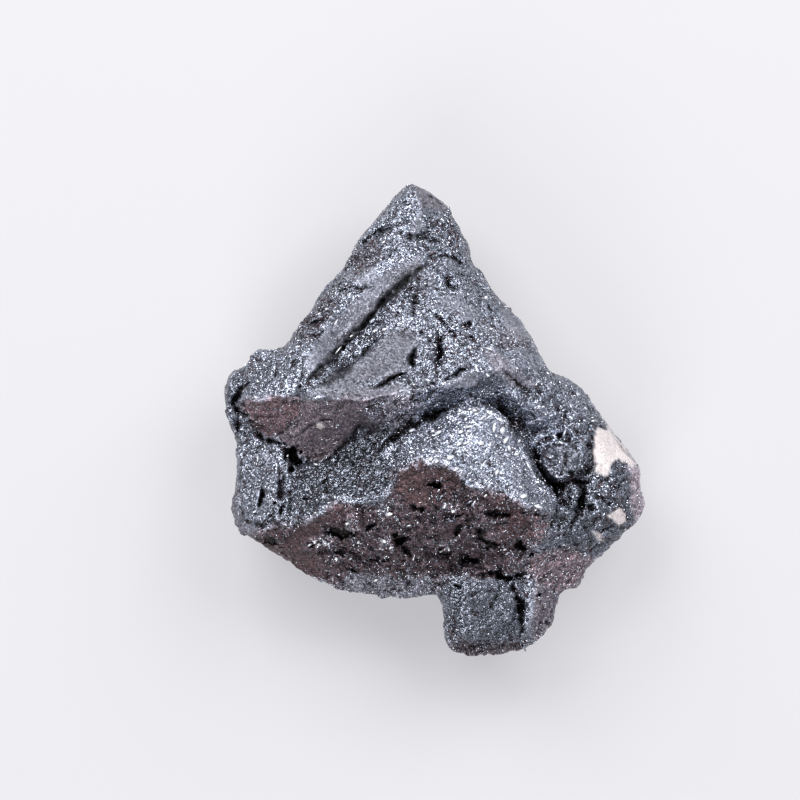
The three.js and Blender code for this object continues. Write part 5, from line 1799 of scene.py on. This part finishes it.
@dataclass
class Studio:
    """A pale floor, soft light from the tip's side, and the camera straight above."""

    view_width: float = 80.0
    camera_height: float = 700.0
    sensor: float = 36.0
    aim: tuple[float, float] = (-3.5, 2.1)
    middle_height: float = 11.0
    floor_half: float = 900.0
    floor_roughness: float = 0.9
    floor_colour: tuple[float, float, float] = (0.23, 0.23, 0.233)
    floor_glow: tuple[float, float, float] = (0.392, 0.387, 0.41)
    backdrop: tuple[float, float, float] = (0.86, 0.86, 0.875)
    daylight: tuple[float, float, float] = (0.285, 0.29, 0.31)

    def build(self) -> None:
        """Makes the floor, the lights, the world and the camera."""
        self.floor()
        self.softbox("key_light", place=(-0.22, 0.36, 0.46), size=0.4, watts=4.4)
        self.softbox("second_key_light", place=(0.3, 0.32, 0.46), size=0.4, watts=4.0)
        self.softbox("fill_light", place=(-0.15, -0.5, 0.42), size=0.35, watts=2.6)
        self.world()
        self.camera()

    def floor(self) -> None:
        """A plain square sheet far wider than the specimen."""
        mesh = bpy.data.meshes.new("floor")
        half = self.floor_half * MM
        corners = [(-half, -half, 0), (half, -half, 0), (half, half, 0), (-half, half, 0)]
        mesh.from_pydata(corners, [], [(0, 1, 2, 3)])
        sheet = bpy.data.objects.new("floor", mesh)
        bpy.context.scene.collection.objects.link(sheet)
        paper = bpy.data.materials.new("floor_paper")
        paper.use_nodes = True
        shader = paper.node_tree.nodes["Principled BSDF"]
        shader.inputs["Base Color"].default_value = rgba(self.floor_colour)
        shader.inputs["Emission Color"].default_value = rgba(self.floor_glow)
        shader.inputs["Emission Strength"].default_value = 1.0
        shader.inputs["Roughness"].default_value = self.floor_roughness
        mesh.materials.append(paper)

    def softbox(self, name: str, place: tuple[float, float, float], size: float, watts: float) -> None:
        """A square area light that faces the specimen.

        Args:
            name: the light's name.
            place: where it stands, in metres.
            size: its side, in metres.
            watts: its power.
        """
        lamp = bpy.data.lights.new(name, "AREA")
        lamp.size = size
        lamp.energy = watts
        holder = bpy.data.objects.new(name, lamp)
        bpy.context.scene.collection.objects.link(holder)
        holder.location = place
        away = holder.location.normalized()
        holder.rotation_mode = "QUATERNION"
        holder.rotation_quaternion = away.to_track_quat("Z", "Y")

    def world(self) -> None:
        """Soft grey light from all round, behind a pale backdrop."""
        world = bpy.data.worlds.new("studio")
        world.use_nodes = True
        world.node_tree.nodes.clear()
        pen = ShaderPen(world.node_tree)
        seen = pen.node("ShaderNodeBackground")
        seen.inputs["Color"].default_value = rgba(self.backdrop)
        light = pen.node("ShaderNodeBackground")
        light.inputs["Color"].default_value = rgba(self.daylight)
        either = pen.node("ShaderNodeMixShader")
        pen.join(pen.node("ShaderNodeLightPath").outputs["Is Camera Ray"], either.inputs[0])
        pen.join(light.outputs[0], either.inputs[1])
        pen.join(seen.outputs[0], either.inputs[2])
        pen.join(either.outputs[0], pen.node("ShaderNodeOutputWorld").inputs["Surface"])
        bpy.context.scene.world = world

    def camera(self) -> None:
        """A long lens straight above the specimen, so that the frame is view_width wide at its middle."""
        lens = bpy.data.cameras.new("camera")
        reach = self.camera_height - self.middle_height
        lens.sensor_width = self.sensor
        lens.lens = self.sensor * reach / self.view_width
        eye = bpy.data.objects.new("camera", lens)
        eye.location = (self.aim[0] * MM, self.aim[1] * MM, self.camera_height * MM)
        bpy.context.scene.collection.objects.link(eye)
        bpy.context.scene.camera = eye


def main() -> None:
    """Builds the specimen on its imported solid, then the studio round it."""
    logging.basicConfig(level=logging.INFO, format="%(name)s: %(message)s")
    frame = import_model()
    bpy.context.scene.view_settings.view_transform = "Standard"
    cluster = HematiteCluster()
    skin = cluster.build(frame["nodes"][CLUSTER_NODE])
    skin.data.materials.append(Finish.SKIN.material())
    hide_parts(CLUSTER_NODE)
    layers = (
        Glitter(
            name="tablets_fine", habit=Habit.TABLET, count=16000, length=0.26, spread=0.3,
            width=0.42, thickness=0.2, tilt=0.6, rise=0.06, seed=101,
        ),
        Glitter(
            name="tablets_long", habit=Habit.TABLET, count=16000, length=0.5, spread=0.35,
            width=0.26, thickness=0.14, tilt=0.5, rise=0.07, seed=102,
        ),
        Glitter(
            name="octahedra", habit=Habit.OCTAHEDRON, count=24000, length=0.18, spread=0.3,
            width=0.9, thickness=0.8, tilt=0.8, rise=0.06, seed=103,
        ),
    )
    pieces = [skin, *(layer.build(cluster) for layer in layers), BrightFlakes().build(cluster)]
    for piece in pieces:
        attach(piece, BODY)
    Studio().build()


if __name__ == "__main__":
    main()
